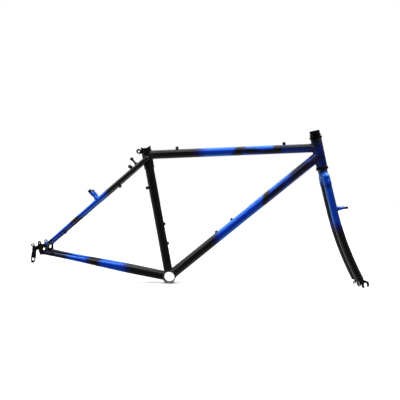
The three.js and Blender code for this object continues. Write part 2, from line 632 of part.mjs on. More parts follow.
// The crown: an arch from one socket over to the other, and a neck for the steerer.
function crown() {
  const toSide = (side) => ([x, y, z]) => vec(x, y * side, z);
  const leg = (side) => [
    bladePoint(CROWN.socketEnd, side), bladePoint(CROWN.socketTop, side),
    ...[CROWN.bend, CROWN.shoulder].map(toSide(side)),
  ];
  const arch = [...leg(-1), toSide(1)(CROWN.middle), ...leg(1).reverse()];
  const section = new THREE.Shape().absarc(0, 0, CROWN.armRadius, 0, 2 * Math.PI);
  const path = new THREE.CatmullRomCurve3(arch, false, "centripetal");
  const arms = new THREE.ExtrudeGeometry(section, {
    steps: 14, curveSegments: 8, bevelEnabled: false, extrudePath: path,
  });
  const neck = lathe([
    [0, -CROWN.neckDrop], [CROWN.neckRadius, -CROWN.neckDrop], [CROWN.neckRadius, -2.4],
    [CROWN.seatRadius, -1.6],
    [CROWN.seatRadius, 0], [0, 0],
  ]);
  const sockets = [1, -1].map((side) => blade(side).body(GAP, 0, 4));
  const bore = bar(origin, axis, STEERER.radius + GAP, 4 * STEERER.below);
  return cut(join(solid(arms), neck), bore, ...sockets);
}

function fork() {
  const steererRing = hollow(STEERER.radius - STEERER.wall, STEERER.radius, -STEERER.below, STEERER.above);
  const pieces = [mesh("steerer_tube", steererRing, BARE), mesh("fork_crown", crown(), BLUE)];
  for (const [side, hand] of [[1, "left"], [-1, "right"]]) {
    const limb = blade(side);
    pieces.push(mesh("fork_blade_" + hand, cut(limb.shell(), forkTongue(side, PLATE + 2 * GAP, GAP)), BLUE));
    pieces.push(mesh("fork_dropout_" + hand, forkDropout(side), BLACK));
    const share = (FORK_STUD.down - FORK.bladeTop) / (FORK.bladeEnd - FORK.bladeTop);
    const { T } = limb.frameAt(share);
    const out = vec(-T.z, 0, T.x).normalize();
    out.applyAxisAngle(acrossFrame, radians(FORK_STUD.droop));
    const post = brakeStud(limb.at(share), out, FORK_STUD);
    pieces.push(mesh("front_brake_stud_" + hand, cut(post, limb.body(GAP)), BLUE));
  }
  return pieces;
}

// ---- The scene graph ----
const steering = new THREE.Group();
steering.position.copy(headAt(-LOWER_STACK));
steering.rotation.y = -radians(HEAD.lean);
const { fixed, turning } = headset();
steering.add(...fixed, ...turning, ...fork());

const frameset = new THREE.Group();
frameset.add(...frontTriangle(), ...rearTriangle(), steering);

const root = new THREE.Group();
root.add(frameset);
root.updateMatrixWorld(true);
const extent = new THREE.Box3().setFromObject(root, true);
frameset.position.set(-(extent.min.x + extent.max.x) / 2, 0, -extent.min.z);

export default root;
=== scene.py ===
"""Looks for a steel mountain bicycle frameset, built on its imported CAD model.

Sizes in the classes are millimetres from the centre of the bottom bracket shell, with X forward, Y to the
rider's left and Z up, as in the part's source. Bench turns them into metres in the row frame.
"""

from __future__ import annotations

import logging
import math
from dataclasses import dataclass, field
from enum import Enum
from typing import Any, Callable, Iterable, Sequence

import bmesh
import bpy
import numpy as np
from mathutils import Matrix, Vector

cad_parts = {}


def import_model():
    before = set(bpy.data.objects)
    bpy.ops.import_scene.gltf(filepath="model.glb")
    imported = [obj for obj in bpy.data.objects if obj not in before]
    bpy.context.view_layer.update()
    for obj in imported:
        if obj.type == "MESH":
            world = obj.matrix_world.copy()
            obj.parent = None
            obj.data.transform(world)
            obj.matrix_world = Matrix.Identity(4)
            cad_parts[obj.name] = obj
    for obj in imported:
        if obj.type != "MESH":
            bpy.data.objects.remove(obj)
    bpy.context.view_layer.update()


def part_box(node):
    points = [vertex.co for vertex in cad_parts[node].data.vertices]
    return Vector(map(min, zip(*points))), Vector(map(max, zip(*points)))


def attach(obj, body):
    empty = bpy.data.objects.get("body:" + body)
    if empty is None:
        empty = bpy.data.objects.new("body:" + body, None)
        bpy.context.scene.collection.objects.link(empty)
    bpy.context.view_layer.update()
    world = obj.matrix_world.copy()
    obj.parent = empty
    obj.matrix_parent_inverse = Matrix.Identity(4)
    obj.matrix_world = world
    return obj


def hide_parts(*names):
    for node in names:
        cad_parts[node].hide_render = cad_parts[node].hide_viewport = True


log = logging.getLogger("frameset")

MM = 0.001
# Settings that several nodes share.
SMOOTH = {"interpolation_type": "SMOOTHSTEP"}
TIMES = {"operation": "MULTIPLY"}
# In metres: points this close are one.
MERGE_DISTANCE = 2e-6
TURN = 2 * math.pi
# Points worked out between two given ones before a path is spaced evenly.
STEPS_PER_SPAN = 160
ACROSS = np.array([0.0, 1.0, 0.0])
Pair = tuple[float, float]
Profile = Sequence[Pair]


class Body(Enum):
    """The CAD bodies that pieces ride on."""

    FRAME = "frame"
    FORK = "fork"
    LOWER_BALLS = "lower_balls"
    UPPER_BALLS = "upper_balls"


class Side(Enum):
    """Which side of the bicycle a piece is on: the sign of its Y."""

    LEFT = 1
    RIGHT = -1

    @property
    def hand(self) -> str:
        """The word that the CAD nodes of this side end in."""
        return self.name.lower()


# Geometry in numbers
def unit(vector: np.ndarray) -> np.ndarray:
    """The vectors of an array, each scaled to a length of one."""
    return vector / np.linalg.norm(vector, axis=-1, keepdims=True)


def up(lean: float) -> np.ndarray:
    """The direction of a line that leans back from upright."""
    return np.array([-math.sin(math.radians(lean)), 0.0, math.cos(math.radians(lean))])


def ahead(lean: float) -> np.ndarray:
    """The forward direction square to up(lean), in the frame's plane."""
    return np.array([math.cos(math.radians(lean)), 0.0, math.sin(math.radians(lean))])


def in_plane(point: Pair, y: float = 0.0) -> np.ndarray:
    """A point of the frame's plane, moved out to one side by y."""
    return np.array([point[0], y, point[1]])


def smooth_path(points: Sequence[np.ndarray], count: int = 240) -> np.ndarray:
    """Evenly spaced points on the centripetal Catmull-Rom curve through a few points.

    Args:
        points: The points that the curve runs through.
        count: How many points to return.

    Returns:
        An array of count points.
    """
    given = [2 * points[0] - points[1], *points, 2 * points[-1] - points[-2]]
    dense = []
    for a, b, c, d in zip(given, given[1:], given[2:], given[3:]):
        before, here, after = (math.sqrt(np.linalg.norm(q - p)) for p, q in ((a, b), (b, c), (c, d)))
        leave = ((b - a) / before - (c - a) / (before + here) + (c - b) / here) * here
        arrive = ((c - b) / here - (d - b) / (here + after) + (d - c) / after) * here
        t = np.linspace(0, 1, STEPS_PER_SPAN)[:, None]
        square, cube = 3 * (c - b) - 2 * leave - arrive, 2 * (b - c) + leave + arrive
        dense.append(b + leave * t + square * t**2 + cube * t**3)
    line = np.concatenate(dense)
    runs = np.concatenate([[0], np.cumsum(np.linalg.norm(np.diff(line, axis=0), axis=1))])
    wanted = np.linspace(0, runs[-1], count)
    return np.stack([np.interp(wanted, runs, line[:, i]) for i in range(3)], axis=-1)


def rounded(profile: Profile, radius: float, steps: int = 3) -> list[Pair]:
    """A closed profile with each of its corners turned into a small arc.

    Args:
        profile: Corners as (radius, height).
        radius: How far from the corner its arc starts, at most.
        steps: Spans in each arc.

    Returns:
        The rounded profile.
    """
    corners = np.array(profile, float)
    made: list[Pair] = []
    for i, corner in enumerate(corners):
        before, after = corners[i - 1], corners[(i + 1) % len(corners)]
        if corner[0] == 0:
            made.append((0.0, float(corner[1])))
            continue
        ends = []
        for other in (before, after):
            reach = np.linalg.norm(other - corner)
            ends.append(corner + (other - corner) * min(radius, 0.4 * reach) / reach)
        for t in np.linspace(0, 1, steps + 1):
            point = (1 - t) ** 2 * ends[0] + 2 * t * (1 - t) * corner + t**2 * ends[1]
            made.append((float(point[0]), float(point[1])))
    return made


@dataclass(frozen=True)
class Barrel:
    """An endless cylinder that another tube meets."""

    place: np.ndarray
    axis: np.ndarray
    radius: float

    def clearance(self, points: np.ndarray) -> np.ndarray:
        """How far outside the cylinder each point lies, less than zero inside.

        Args:
            points: The points.

        Returns:
            A distance for each point.
        """
        off = points - self.place
        off = off - (off @ self.axis)[..., None] * self.axis
        return np.linalg.norm(off, axis=-1) - self.radius


class Shape:
    """A mesh in the making: rings of points skinned into closed surfaces."""

    def __init__(self) -> None:
        """Starts with nothing in it."""
        self.points: list[np.ndarray] = []
        self.faces: list[tuple[int, ...]] = []
        self.skins: list[int] = []

    def grid(self, rows: np.ndarray, loop: bool, skins: Sequence[int] | int = 0) -> Shape:
        """Adds rings of points, each joined to the next.

        Args:
            rows: An array of rings by points by three.
            loop: Whether the last ring is joined to the first.
            skins: The material index of each band between two rings, or of all of them.

        Returns:
            The shape itself.
        """
        start = sum(len(p) for p in self.points)
        count, around = rows.shape[:2]
        self.points.append(rows.reshape(-1, 3))
        for i in range(count if loop else count - 1):
            a, b = start + i * around, start + (i + 1) % count * around
            for j in range(around):
                k = (j + 1) % around
                self.faces.append((a + j, a + k, b + k, b + j))
                self.skins.append(skins if isinstance(skins, int) else skins[i])
        return self

    def turned(
        self, profile: Profile, place: np.ndarray, axis: np.ndarray, sides: int = 64,
        skin: Callable[[float, float], int] | None = None, flats: tuple[int, float] | None = None,
    ) -> Shape:
        """Adds a turned piece.

        Args:
            profile: (radius, height) pairs. One that starts and ends on the axis is closed there.
            place: Where height 0 of the axis is.
            axis: Direction of the axis.
            sides: Facets round it.
            skin: Gives a band's material index from the radius and height of its middle.
            flats: A number of wrench flats and their distance from the axis.

        Returns:
            The shape itself.
        """
        start = unit(np.cross(axis, [0.31, 0.12, 0.94] if abs(axis[1]) > 0.9 else ACROSS))
        other = np.cross(axis, start)
        angles = np.linspace(0, TURN, sides, endpoint=False)
        radii = np.repeat(np.array([r for r, _ in profile], float)[:, None], sides, axis=1)
        if flats:
            sector = TURN / flats[0]
            limit = flats[1] / np.cos((angles + sector / 2) % sector - sector / 2)
            radii = np.minimum(radii, limit[None, :])
        spokes = np.cos(angles)[:, None] * start + np.sin(angles)[:, None] * other
        heights = np.array([h for _, h in profile], float)[:, None, None] * axis
        rows = place + radii[..., None] * spokes[None] + heights
        on_axis = profile[0][0] == 0 and profile[-1][0] == 0
        bands: list[int] = []
        for (r0, h0), (r1, h1) in zip(profile, [*profile[1:], profile[0]]):
            bands.append(skin((r0 + r1) / 2, (h0 + h1) / 2) if skin else 0)
        return self.grid(rows, not on_axis, bands)

    def block(self, place: np.ndarray, axes: Sequence[np.ndarray], sizes: Sequence[float]) -> Shape:
        """Adds a rectangular block, for joining to others or cutting from them.

        Args:
            place: Its middle.
            axes: Its three directions.
            sizes: Its lengths along them.

        Returns:
            The shape itself.
        """
        a, b, c = (np.array(axis) * size / 2 for axis, size in zip(axes, sizes))
        start = sum(len(p) for p in self.points)
        corners = [place + x * a + y * b + z * c for x in (-1, 1) for y in (-1, 1) for z in (-1, 1)]
        self.points.append(np.array(corners))
        quads = ((0, 1, 3, 2), (4, 6, 7, 5), (0, 4, 5, 1), (2, 3, 7, 6), (0, 2, 6, 4), (1, 5, 7, 3))
        self.faces += [tuple(start + i for i in quad) for quad in quads]
        self.skins += [0] * len(quads)
        return self


class Tube:
    """A tube along a path, whose half width and half height may change along it."""

    # How far past its end a tube is searched for its mate, and in how many steps from its middle.
    SEARCH_PAST_END = 40.0
    SEARCH_STEPS = 700

    def __init__(self, path: np.ndarray, size: Callable[[float], Pair], wall: float) -> None:
        """Measures the tube out.

        Args:
            path: Evenly spaced points of the middle line.
            size: Gives the half width across the frame and the half height from a share of the length.
            wall: Wall thickness.
        """
        self.path, self.wall = path, wall
        self.runs = np.concatenate([[0], np.cumsum(np.linalg.norm(np.diff(path, axis=0), axis=1))])
        self.length = float(self.runs[-1])
        self.tangents = unit(np.gradient(path, self.runs, axis=0))
        self.sizes = np.array([size(float(run) / self.length) for run in self.runs])

    @classmethod
    def straight(cls, start: np.ndarray, end: np.ndarray, radius: float, wall: float) -> Tube:
        """A straight round tube."""
        return cls(np.linspace(start, end, 24), lambda share: (radius, radius), wall)

    def at(self, run: float) -> np.ndarray:
        """A point of the middle line, a distance from its start."""
        return np.array([np.interp(run, self.runs, self.path[:, i]) for i in range(3)])

    def heading(self, run: float) -> np.ndarray:
        """The direction of the middle line at a distance from its start."""
        return unit(np.array([np.interp(run, self.runs, self.tangents[:, i]) for i in range(3)]))

    def barrel(self, run: float) -> Barrel:
        """The cylinder that the tube is close to at one place."""
        return Barrel(self.at(run), self.heading(run), float(np.interp(run, self.runs, self.sizes[:, 1])))

    def surface(self, run: Any, angle: Any, grow: float = 0.0, scale: Any = 1.0) -> np.ndarray:
        """Points of the outer surface.

        Args:
            run: Distances along the middle line, which goes on straight past its ends.
            angle: Angles round the tube.
            grow: How far outside the surface to go.
            scale: Factor on the half sizes.

        Returns:
            An array of points, shaped as the runs and angles are together.
        """
        run, angle, scale = np.broadcast_arrays(np.asarray(run, float), angle, scale)
        kept = np.clip(run, 0, self.length)
        pick = lambda table: np.stack(
            [np.interp(kept, self.runs, table[:, i]) for i in range(table.shape[1])], -1,
        )
        tangent = unit(pick(self.tangents))
        place = pick(self.path) + tangent * (run - kept)[..., None]
        across = unit(ACROSS - tangent * (tangent @ ACROSS)[..., None])
        upward = np.cross(across, tangent)
        sizes = (pick(self.sizes) + grow) * scale[..., None]
        return (
            place + across * (sizes[..., 0] * np.cos(angle))[..., None]
            + upward * (sizes[..., 1] * np.sin(angle))[..., None]
        )

    def meets(
        self, mates: Sequence[Barrel], angles: np.ndarray, at_start: bool, bite: float = 0.0,
    ) -> np.ndarray:
        """Where each line along the tube first enters one of its mates, from the middle outwards.

        Args:
            mates: The cylinders it meets. With none, the tube's own end is returned.
            angles: The lines' angles round the tube.
            at_start: Which end.
            bite: How deep in the mate to stop.

        Returns:
            A distance along the tube for each angle.
        """
        end = 0.0 if at_start else self.length
        if not mates:
            return np.full(len(angles), end)
        runs = np.linspace(
            self.length / 2, end + (-1 if at_start else 1) * self.SEARCH_PAST_END, self.SEARCH_STEPS,
        )
        points = self.surface(runs[:, None], angles[None, :])
        gap = np.min([mate.clearance(points) for mate in mates], axis=0) + bite
        inside = gap < 0
        first = np.maximum(inside.argmax(axis=0), 1)
        column = np.arange(len(angles))
        near, far = gap[first - 1, column], gap[first, column]
        share = near / np.where(near - far == 0, 1, near - far)
        found = runs[first - 1] + share * (runs[first] - runs[first - 1])
        return np.where(inside.any(axis=0), found, end)

    def walled(
        self, start: Sequence[Barrel] = (), end: Sequence[Barrel] = (), rows: int = 12, sides: int = 64,
        bite: float = 0.5,
    ) -> Shape:
        """The tube with its wall, mitred to the pieces that it meets. Its inside has material index 1.

        Args:
            start: Cylinders that its first end meets.
            end: Cylinders that its last end meets.
            rows: Rings along it.
            sides: Facets round it.
            bite: How deep it goes into its mates.

        Returns:
            The shape.
        """
        angles = np.linspace(0, TURN, sides, endpoint=False)
        first, last = self.meets(start, angles, True, bite), self.meets(end, angles, False, bite)
        shares = np.linspace(0, 1, rows)
        outer = [self.surface(first + (last - first) * s, angles) for s in shares]
        inner = [self.surface(first + (last - first) * s, angles, -self.wall) for s in shares[::-1]]
        skins = [0] * rows + [1] * (rows - 1) + [0]
        return Shape().grid(np.array(outer + inner), True, skins)

    def closed(
        self, rows: int = 60, sides: int = 40, domes: Pair = (0.8, 0.8), end: Sequence[Barrel] = (),
    ) -> Shape:
        """The tube as a solid bar with domed ends.

        Args:
            rows: Rings along it.
            sides: Facets round it.
            domes: Length of each dome as a factor on the radius there.
            end: Cylinders that its far end runs into, where it then has no dome.

        Returns:
            The shape.
        """
        angles = np.linspace(0, TURN, sides, endpoint=False)
        last = self.meets(end, angles, False, 1.0)
        bend = np.linspace(math.pi / 2, 0.12, 8)
        rings = [
            self.surface(-domes[0] * self.sizes[0, 1] * math.sin(b), angles, 0, max(math.cos(b), 1e-4))
            for b in bend
        ]
        rings += [self.surface(last * s, angles) for s in np.linspace(0, 1, rows)]
        if end:
            rings.append(np.repeat(rings[-1].mean(axis=0)[None], sides, axis=0))
        else:
            reach = domes[1] * self.sizes[-1, 1]
            rings += [
                self.surface(self.length + reach * math.sin(b), angles, 0, max(math.cos(b), 1e-4))
                for b in bend[::-1]
            ]
        return Shape().grid(np.array(rings), False)

    def seam(self, mates: Sequence[Barrel], at_start: bool, sides: int = 120) -> np.ndarray:
        """The line round the tube where it enters its mates."""
        angles = np.linspace(0, TURN, sides, endpoint=False)
        return self.surface(self.meets(mates, angles, at_start), angles, 0.1)


class Outline:
    """A flat shape in the frame's plane, kept as a distance field so that inner corners are filleted."""

    def __init__(self, low: Pair, high: Pair, step: float = 0.4, fillet: float = 2.5) -> None:
        """Lays the field out.

        Args:
            low: Lowest x and z of the field.
            high: Highest x and z.
            step: Spacing of its points.
            fillet: Size of the fillets between the shapes that are added.
        """
        self.xs, self.zs = np.arange(low[0], high[0], step), np.arange(low[1], high[1], step)
        self.x, self.z = np.meshgrid(self.xs, self.zs, indexing="ij")
        self.field = np.full(self.x.shape, 99.0)
        self.fillet = fillet

    def strap_field(self, a: Pair, b: Pair, radius: float) -> np.ndarray:
        """Distances from a strap with round ends between two points, or from a disc where they are one.

        Args:
            a: One end, as x and z.
            b: The other end.
            radius: Half of its width.

        Returns:
            A distance for each point of the field.
        """
        run = np.array(b, float) - np.array(a, float)
        square = max(float(run @ run), 1e-9)
        t = np.clip(((self.x - a[0]) * run[0] + (self.z - a[1]) * run[1]) / square, 0, 1)
        return np.hypot(self.x - a[0] - t * run[0], self.z - a[1] - t * run[1]) - radius

    def polygon_field(self, corners: Sequence[Pair]) -> np.ndarray:
        """Distances from a polygon.

        Args:
            corners: Its corners in order, as x and z.

        Returns:
            A distance for each point of the field, less than zero inside.
        """
        best = np.full(self.x.shape, 1e9)
        inside = np.zeros(self.x.shape, bool)
        for (ax, az), (bx, bz) in zip(corners, [*corners[1:], corners[0]]):
            best = np.minimum(best, self.strap_field((ax, az), (bx, bz), 0))
            crosses = (az > self.z) != (bz > self.z)
            with np.errstate(divide="ignore", invalid="ignore"):
                inside ^= crosses & (self.x < (bx - ax) * (self.z - az) / (bz - az) + ax)
        return np.where(inside, -best, best)

    def add(self, other: np.ndarray) -> Outline:
        """Joins a shape on with a fillet.

        Args:
            other: The shape's field.

        Returns:
            The outline itself.
        """
        share = np.clip(0.5 + 0.5 * (other - self.field) / self.fillet, 0, 1)
        self.field = other * (1 - share) + self.field * share - self.fillet * share * (1 - share)
        return self

    def take(self, other: np.ndarray) -> Outline:
        """Cuts a shape out."""
        self.field = np.maximum(self.field, -other)
        return self

    def loops(self) -> list[np.ndarray]:
        """The closed lines where the field is zero, by marching squares.

        Returns:
            Each line as an array of x and z.
        """
        f, links, places = self.field, {}, {}

        def crossing(i: int, j: int, k: int, m: int) -> tuple[int, int, int, int]:
            """Notes where the line crosses a span between two neighbouring points.

            Args:
                i: The first point's column.
                j: The first point's row.
                k: The second point's column.
                m: The second point's row.

            Returns:
                The four numbers, as the span's key.
            """
            t = f[i, j] / (f[i, j] - f[k, m])
            places[(i, j, k, m)] = (
                self.xs[i] + t * (self.xs[k] - self.xs[i]), self.zs[j] + t * (self.zs[m] - self.zs[j]),
            )
            return (i, j, k, m)

        inside = f < 0
        mixed = inside[:-1, :-1].astype(int) + inside[1:, :-1] + inside[:-1, 1:] + inside[1:, 1:]
        for i, j in zip(*np.where((mixed > 0) & (mixed < 4))):
            edges = [
                ((i, j), (i + 1, j)), ((i + 1, j), (i + 1, j + 1)), ((i, j + 1), (i + 1, j + 1)),
                ((i, j), (i, j + 1)),
            ]
            cut = [crossing(*a, *b) for a, b in edges if inside[a] != inside[b]]
            for a, b in zip(cut[::2], cut[1::2]):
                links.setdefault(a, []).append(b)
                links.setdefault(b, []).append(a)
        found = []
        while links:
            start = next(iter(links))
            line, here = [start], start
            while links.get(here):
                after = links[here].pop()
                links[after].remove(here)
                if not links[here]:
                    del links[here]
                line.append(after)
                here = after
            links.pop(here, None)
            points = np.array([places[key] for key in line[:-1]])
            for _ in range(2):
                points = (np.roll(points, 1, 0) + 2 * points + np.roll(points, -1, 0)) / 4
            if len(points) > 12:
                found.append(points[::2])
        return found


# Nodes
def srgb(code: str) -> tuple[float, float, float, float]:
    """A colour written as sRGB hex, as the linear RGBA that the nodes take.

    Args:
        code: The hex value, with or without its leading mark.

    Returns:
        Red, green, blue and an alpha of one.
    """
    parts = [int(code.lstrip("#")[i : i + 2], 16) / 255 for i in (0, 2, 4)]
    red, green, blue = (p / 12.92 if p <= 0.04045 else ((p + 0.055) / 1.055) ** 2.4 for p in parts)
    return red, green, blue, 1.0


def add_node(
    tree: Any, kind: str, settings: dict[str, Any] | None = None, inputs: dict[Any, Any] | None = None,
) -> Any:
    """Adds a node to a tree.

    Args:
        tree: The node tree.
        kind: The node's type.
        settings: Values of its properties.
        inputs: Values or sockets for its inputs, by the input's name or number.

    Returns:
        The node.
    """
    node = tree.nodes.new(kind)
    for name, value in (settings or {}).items():
        setattr(node, name, value)
    for key, value in (inputs or {}).items():
        socket = node.inputs[key] if isinstance(key, int) else next(
            s for s in node.inputs if s.enabled and s.name == key
        )
        if isinstance(value, bpy.types.NodeSocket):
            tree.links.new(value, socket)
        else:
            socket.default_value = value
    return node


# Finishes
@dataclass(frozen=True)
class Smoke:
    """One pass of black over the blue: a soft ellipse, in millimetres from the bottom bracket. Most are
    sprayed paint; one, at the fork crown's socket lip, is painted shade.
    """

    centre: Pair
    half_length: float
    half_height: float
    turn: float
    soft: float = 0.35
    depth: float = 1.0
    y: float | None = None


def output(node: Any) -> Any:
    """The first of a node's outputs that is in use."""
    return next(socket for socket in node.outputs if socket.enabled)


def worn_edges(tree: Any, where: Any, first: float, last: float) -> Any:
    """A mask of the sharp outer edges, broken up in short marks. The enamels show primer there as paint
    rubbed thin; the steels turn lighter there, partly as rubbed metal and partly as a painted highlight
    along the rims.

    Args:
        tree: The node tree.
        where: The coordinates.
        first: Pointiness at which wear starts.
        last: Pointiness at which it is full.

    Returns:
        A socket from 0 for untouched to 1 for worn.
    """
    point = add_node(tree, "ShaderNodeNewGeometry").outputs["Pointiness"]
    edge = add_node(
        tree, "ShaderNodeMapRange", SMOOTH, {"Value": point, "From Min": first, "From Max": last},
    )
    # The breaks in the rubbing, and in the painted highlight on steel rims, are 1 to 3 mm long.
    rubbing_and_glint_noise = add_node(tree, "ShaderNodeTexNoise", inputs={"Vector": where, "Scale": 420.0, "Detail": 4.0})
    broken = add_node(
        tree, "ShaderNodeMapRange", inputs={"Value": rubbing_and_glint_noise.outputs["Fac"], "From Min": 0.42, "From Max": 0.6},
    )
    return add_node(tree, "ShaderNodeMath", TIMES, {0: edge.outputs[0], 1: broken.outputs[0]}).outputs[0]


def blend(tree: Any, factor: Any, a: Any, b: Any, mode: str = "MIX") -> Any:
    """Mixes two colours and returns the result's socket."""
    node = add_node(
        tree, "ShaderNodeMix", {"data_type": "RGBA", "blend_type": mode}, {"Factor": factor, "A": a, "B": b},
    )
    return output(node)


@dataclass(frozen=True)
class Enamel:
    """Solvent-borne enamel under a glossy clear coat, sprayed on steel.

    The eye gets a deep, wet gloss with a fine orange peel, a flake in the blue that turns paler and
    cyaner at a slant, partly its own colour travel and partly a painted highlight tint, a soft edge
    wherever black was misted over it, and paint rubbed thin on the sharpest edges.
    """

    name: str
    smokes: tuple[Smoke, ...] = ()
    pearl: str = "#004ef8"
    # Paler cyan seen at a slant: partly the pearl's own colour travel, partly a painted highlight tint.
    flop: str = "#22a2ff"
    dark: str = "#021668"
    black: str = "#050506"
    primer: str = "#4a4b4e"
    flake: float = 0.72
    # Orange peel repeats about every 3 mm; the flake is 0.1 mm in life and drawn at 0.6 mm so that it shows.
    peel_per_metre: float = 330.0
    flake_per_metre: float = 1600.0
    # A misted edge wanders by a few millimetres, in clouds about 20 mm across.
    clouds_per_metre: float = 45.0
    wander: float = 0.006

    def material(self, origin: np.ndarray) -> Any:
        """Builds the material.

        Args:
            origin: The bottom bracket's centre in the row frame, in metres.

        Returns:
            The material.
        """
        made = bpy.data.materials.new(self.name)
        made.use_nodes = True
        tree = made.node_tree
        shader = tree.nodes["Principled BSDF"]
        where = add_node(tree, "ShaderNodeTexCoord").outputs["Object"]
        cloud = add_node(
            tree, "ShaderNodeTexNoise",
            inputs={"Vector": where, "Scale": self.clouds_per_metre, "Detail": 4.0},
        )
        amount = self.sprayed(tree, where, cloud, origin)
        ramp = add_node(tree, "ShaderNodeValToRGB", inputs={"Fac": amount})
        ramp.color_ramp.interpolation = "B_SPLINE"
        stops = ramp.color_ramp.elements
        stops[0].color, stops[1].color, stops[1].position = srgb(self.pearl), srgb(self.black), 0.95
        stops.new(0.5).color = srgb(self.dark)
        flake = add_node(
            tree, "ShaderNodeTexVoronoi", inputs={"Vector": where, "Scale": self.flake_per_metre},
        )
        glint = add_node(
            tree, "ShaderNodeMapRange",
            inputs={"Value": flake.outputs["Color"], "To Min": 0.82, "To Max": 1.18},
        )
        # Paler cyan at a slant: partly the pearl's colour travel, partly a painted highlight tint.
        tinted = self.flopped(tree, amount, ramp.outputs["Color"])
        colour = blend(tree, 1.0, tinted, glint.outputs[0], "MULTIPLY")
        rubbed_and_glinting = worn_edges(tree, where, 0.53, 0.64)
        thin = add_node(tree, "ShaderNodeMath", TIMES, {0: rubbed_and_glinting, 1: 0.45})
        tree.links.new(blend(tree, thin.outputs[0], colour, srgb(self.primer)), shader.inputs["Base Color"])
        bare = add_node(
            tree, "ShaderNodeMapRange", inputs={"Value": amount, "To Min": self.flake, "To Max": 0.0},
        )
        tree.links.new(bare.outputs[0], shader.inputs["Metallic"])
        grain = add_node(
            tree, "ShaderNodeMapRange",
            inputs={"Value": cloud.outputs["Fac"], "To Min": 0.34, "To Max": 0.46},
        )
        tree.links.new(grain.outputs[0], shader.inputs["Roughness"])
        self.clear_coat(tree, where, rubbed_and_glinting, shader)
        return made

    def sprayed(self, tree: Any, where: Any, cloud: Any, origin: np.ndarray) -> Any:
        """How much black there is over the blue, as a socket, or 1 where the enamel is plain black.

        Args:
            tree: The node tree.
            where: The coordinates.
            cloud: The noise that makes the edges wander.
            origin: The bottom bracket's centre in metres.

        Returns:
            The amount.
        """
        if not self.smokes:
            return 1.0
        drift = add_node(
            tree, "ShaderNodeVectorMath", {"operation": "SUBTRACT"},
            {0: cloud.outputs["Color"], 1: (0.5, 0.5, 0.5)},
        )
        push = add_node(
            tree, "ShaderNodeVectorMath", {"operation": "SCALE"}, {0: drift.outputs[0], 3: self.wander},
        )
        moved = add_node(
            tree, "ShaderNodeVectorMath", {"operation": "ADD"}, {0: where, 1: push.outputs[0]},
        ).outputs[0]
        amount: Any = 0.0
        for smoke in self.smokes:
            amount = self.misted(tree, moved, smoke, origin, amount)
        return amount

    def flopped(self, tree: Any, amount: Any, colour: Any) -> Any:
        """The pearl's turn from deep blue, seen square on, to a paler, cyaner one at a slant: partly the
        pearl's own colour travel, partly a painted highlight tint for the lit edges.

        Args:
            tree: The node tree.
            amount: How much black there is.
            colour: The colour seen square on.

        Returns:
            The colour as a socket.
        """
        slant = add_node(tree, "ShaderNodeLayerWeight", inputs={"Blend": 0.5}).outputs["Facing"]
        turn = add_node(
            tree, "ShaderNodeMapRange",
            inputs={"Value": slant, "From Min": 0.03, "From Max": 0.36, "To Max": 0.62},
        )
        blue = add_node(
            tree, "ShaderNodeMapRange",
            inputs={"Value": amount, "From Max": 0.6, "To Min": 1.0, "To Max": 0.0},
        )
        share = add_node(tree, "ShaderNodeMath", TIMES, {0: turn.outputs[0], 1: blue.outputs[0]})
        return blend(tree, share.outputs[0], colour, srgb(self.flop))

    def clear_coat(self, tree: Any, where: Any, rubbed_and_glinting: Any, shader: Any) -> None:
        """The lacquer: orange peel, faint smears of handling, and no gloss where it is rubbed through.

        Args:
            tree: The node tree.
            where: The coordinates.
            rubbed_and_glinting: The mask of the rubbed edges.
            shader: The shader that gets the coat.
        """
        peel = add_node(
            tree, "ShaderNodeTexNoise",
            inputs={"Vector": where, "Scale": self.peel_per_metre, "Detail": 1.0},
        )
        bump = add_node(
            tree, "ShaderNodeBump",
            inputs={"Strength": 0.2, "Distance": 0.00005, "Height": peel.outputs["Fac"]},
        )
        tree.links.new(bump.outputs[0], shader.inputs["Coat Normal"])
        tree.links.new(bump.outputs[0], shader.inputs["Normal"])
        smear = add_node(
            tree, "ShaderNodeTexNoise",
            inputs={"Vector": where, "Scale": 70.0, "Detail": 6.0, "Distortion": 1.5},
        )
        dull = add_node(
            tree, "ShaderNodeMapRange",
            inputs={
                "Value": smear.outputs["Fac"], "From Min": 0.45, "From Max": 0.75, "To Min": 0.02,
                "To Max": 0.07,
            },
        )
        tree.links.new(dull.outputs[0], shader.inputs["Coat Roughness"])
        coat = add_node(tree, "ShaderNodeMapRange", inputs={"Value": rubbed_and_glinting, "To Min": 1.0, "To Max": 0.3})
        tree.links.new(coat.outputs[0], shader.inputs["Coat Weight"])
        shader.inputs["Specular IOR Level"].default_value = 0.15

    @staticmethod
    def misted(tree: Any, where: Any, smoke: Smoke, origin: np.ndarray, before: Any) -> Any:
        """The black laid down so far and one more pass of it, as a socket.

        Args:
            tree: The node tree.
            where: The coordinates.
            smoke: The pass.
            origin: The bottom bracket's centre in metres.
            before: The black laid down so far.

        Returns:
            The black with this pass.
        """
        x, z = smoke.centre
        middle = (x * MM + origin[0], (smoke.y or 0.0) * MM, z * MM + origin[2])
        width = 1.0 if smoke.y is None else 0.03
        local = add_node(
            tree, "ShaderNodeMapping", {"vector_type": "TEXTURE"},
            {
                "Vector": where, "Location": middle, "Rotation": (0.0, -math.radians(smoke.turn), 0.0),
                "Scale": (smoke.half_length * MM, width, smoke.half_height * MM),
            },
        )
        radius = add_node(tree, "ShaderNodeVectorMath", {"operation": "LENGTH"}, {0: local.outputs[0]})
        mask = add_node(
            tree, "ShaderNodeMapRange", SMOOTH,
            {
                "Value": radius.outputs["Value"], "From Min": 1 - smoke.soft, "From Max": 1 + smoke.soft,
                "To Min": smoke.depth, "To Max": 0.0,
            },
        )
        return add_node(
            tree, "ShaderNodeMath", {"operation": "MAXIMUM"}, {0: before, 1: mask.outputs[0]},
        ).outputs[0]


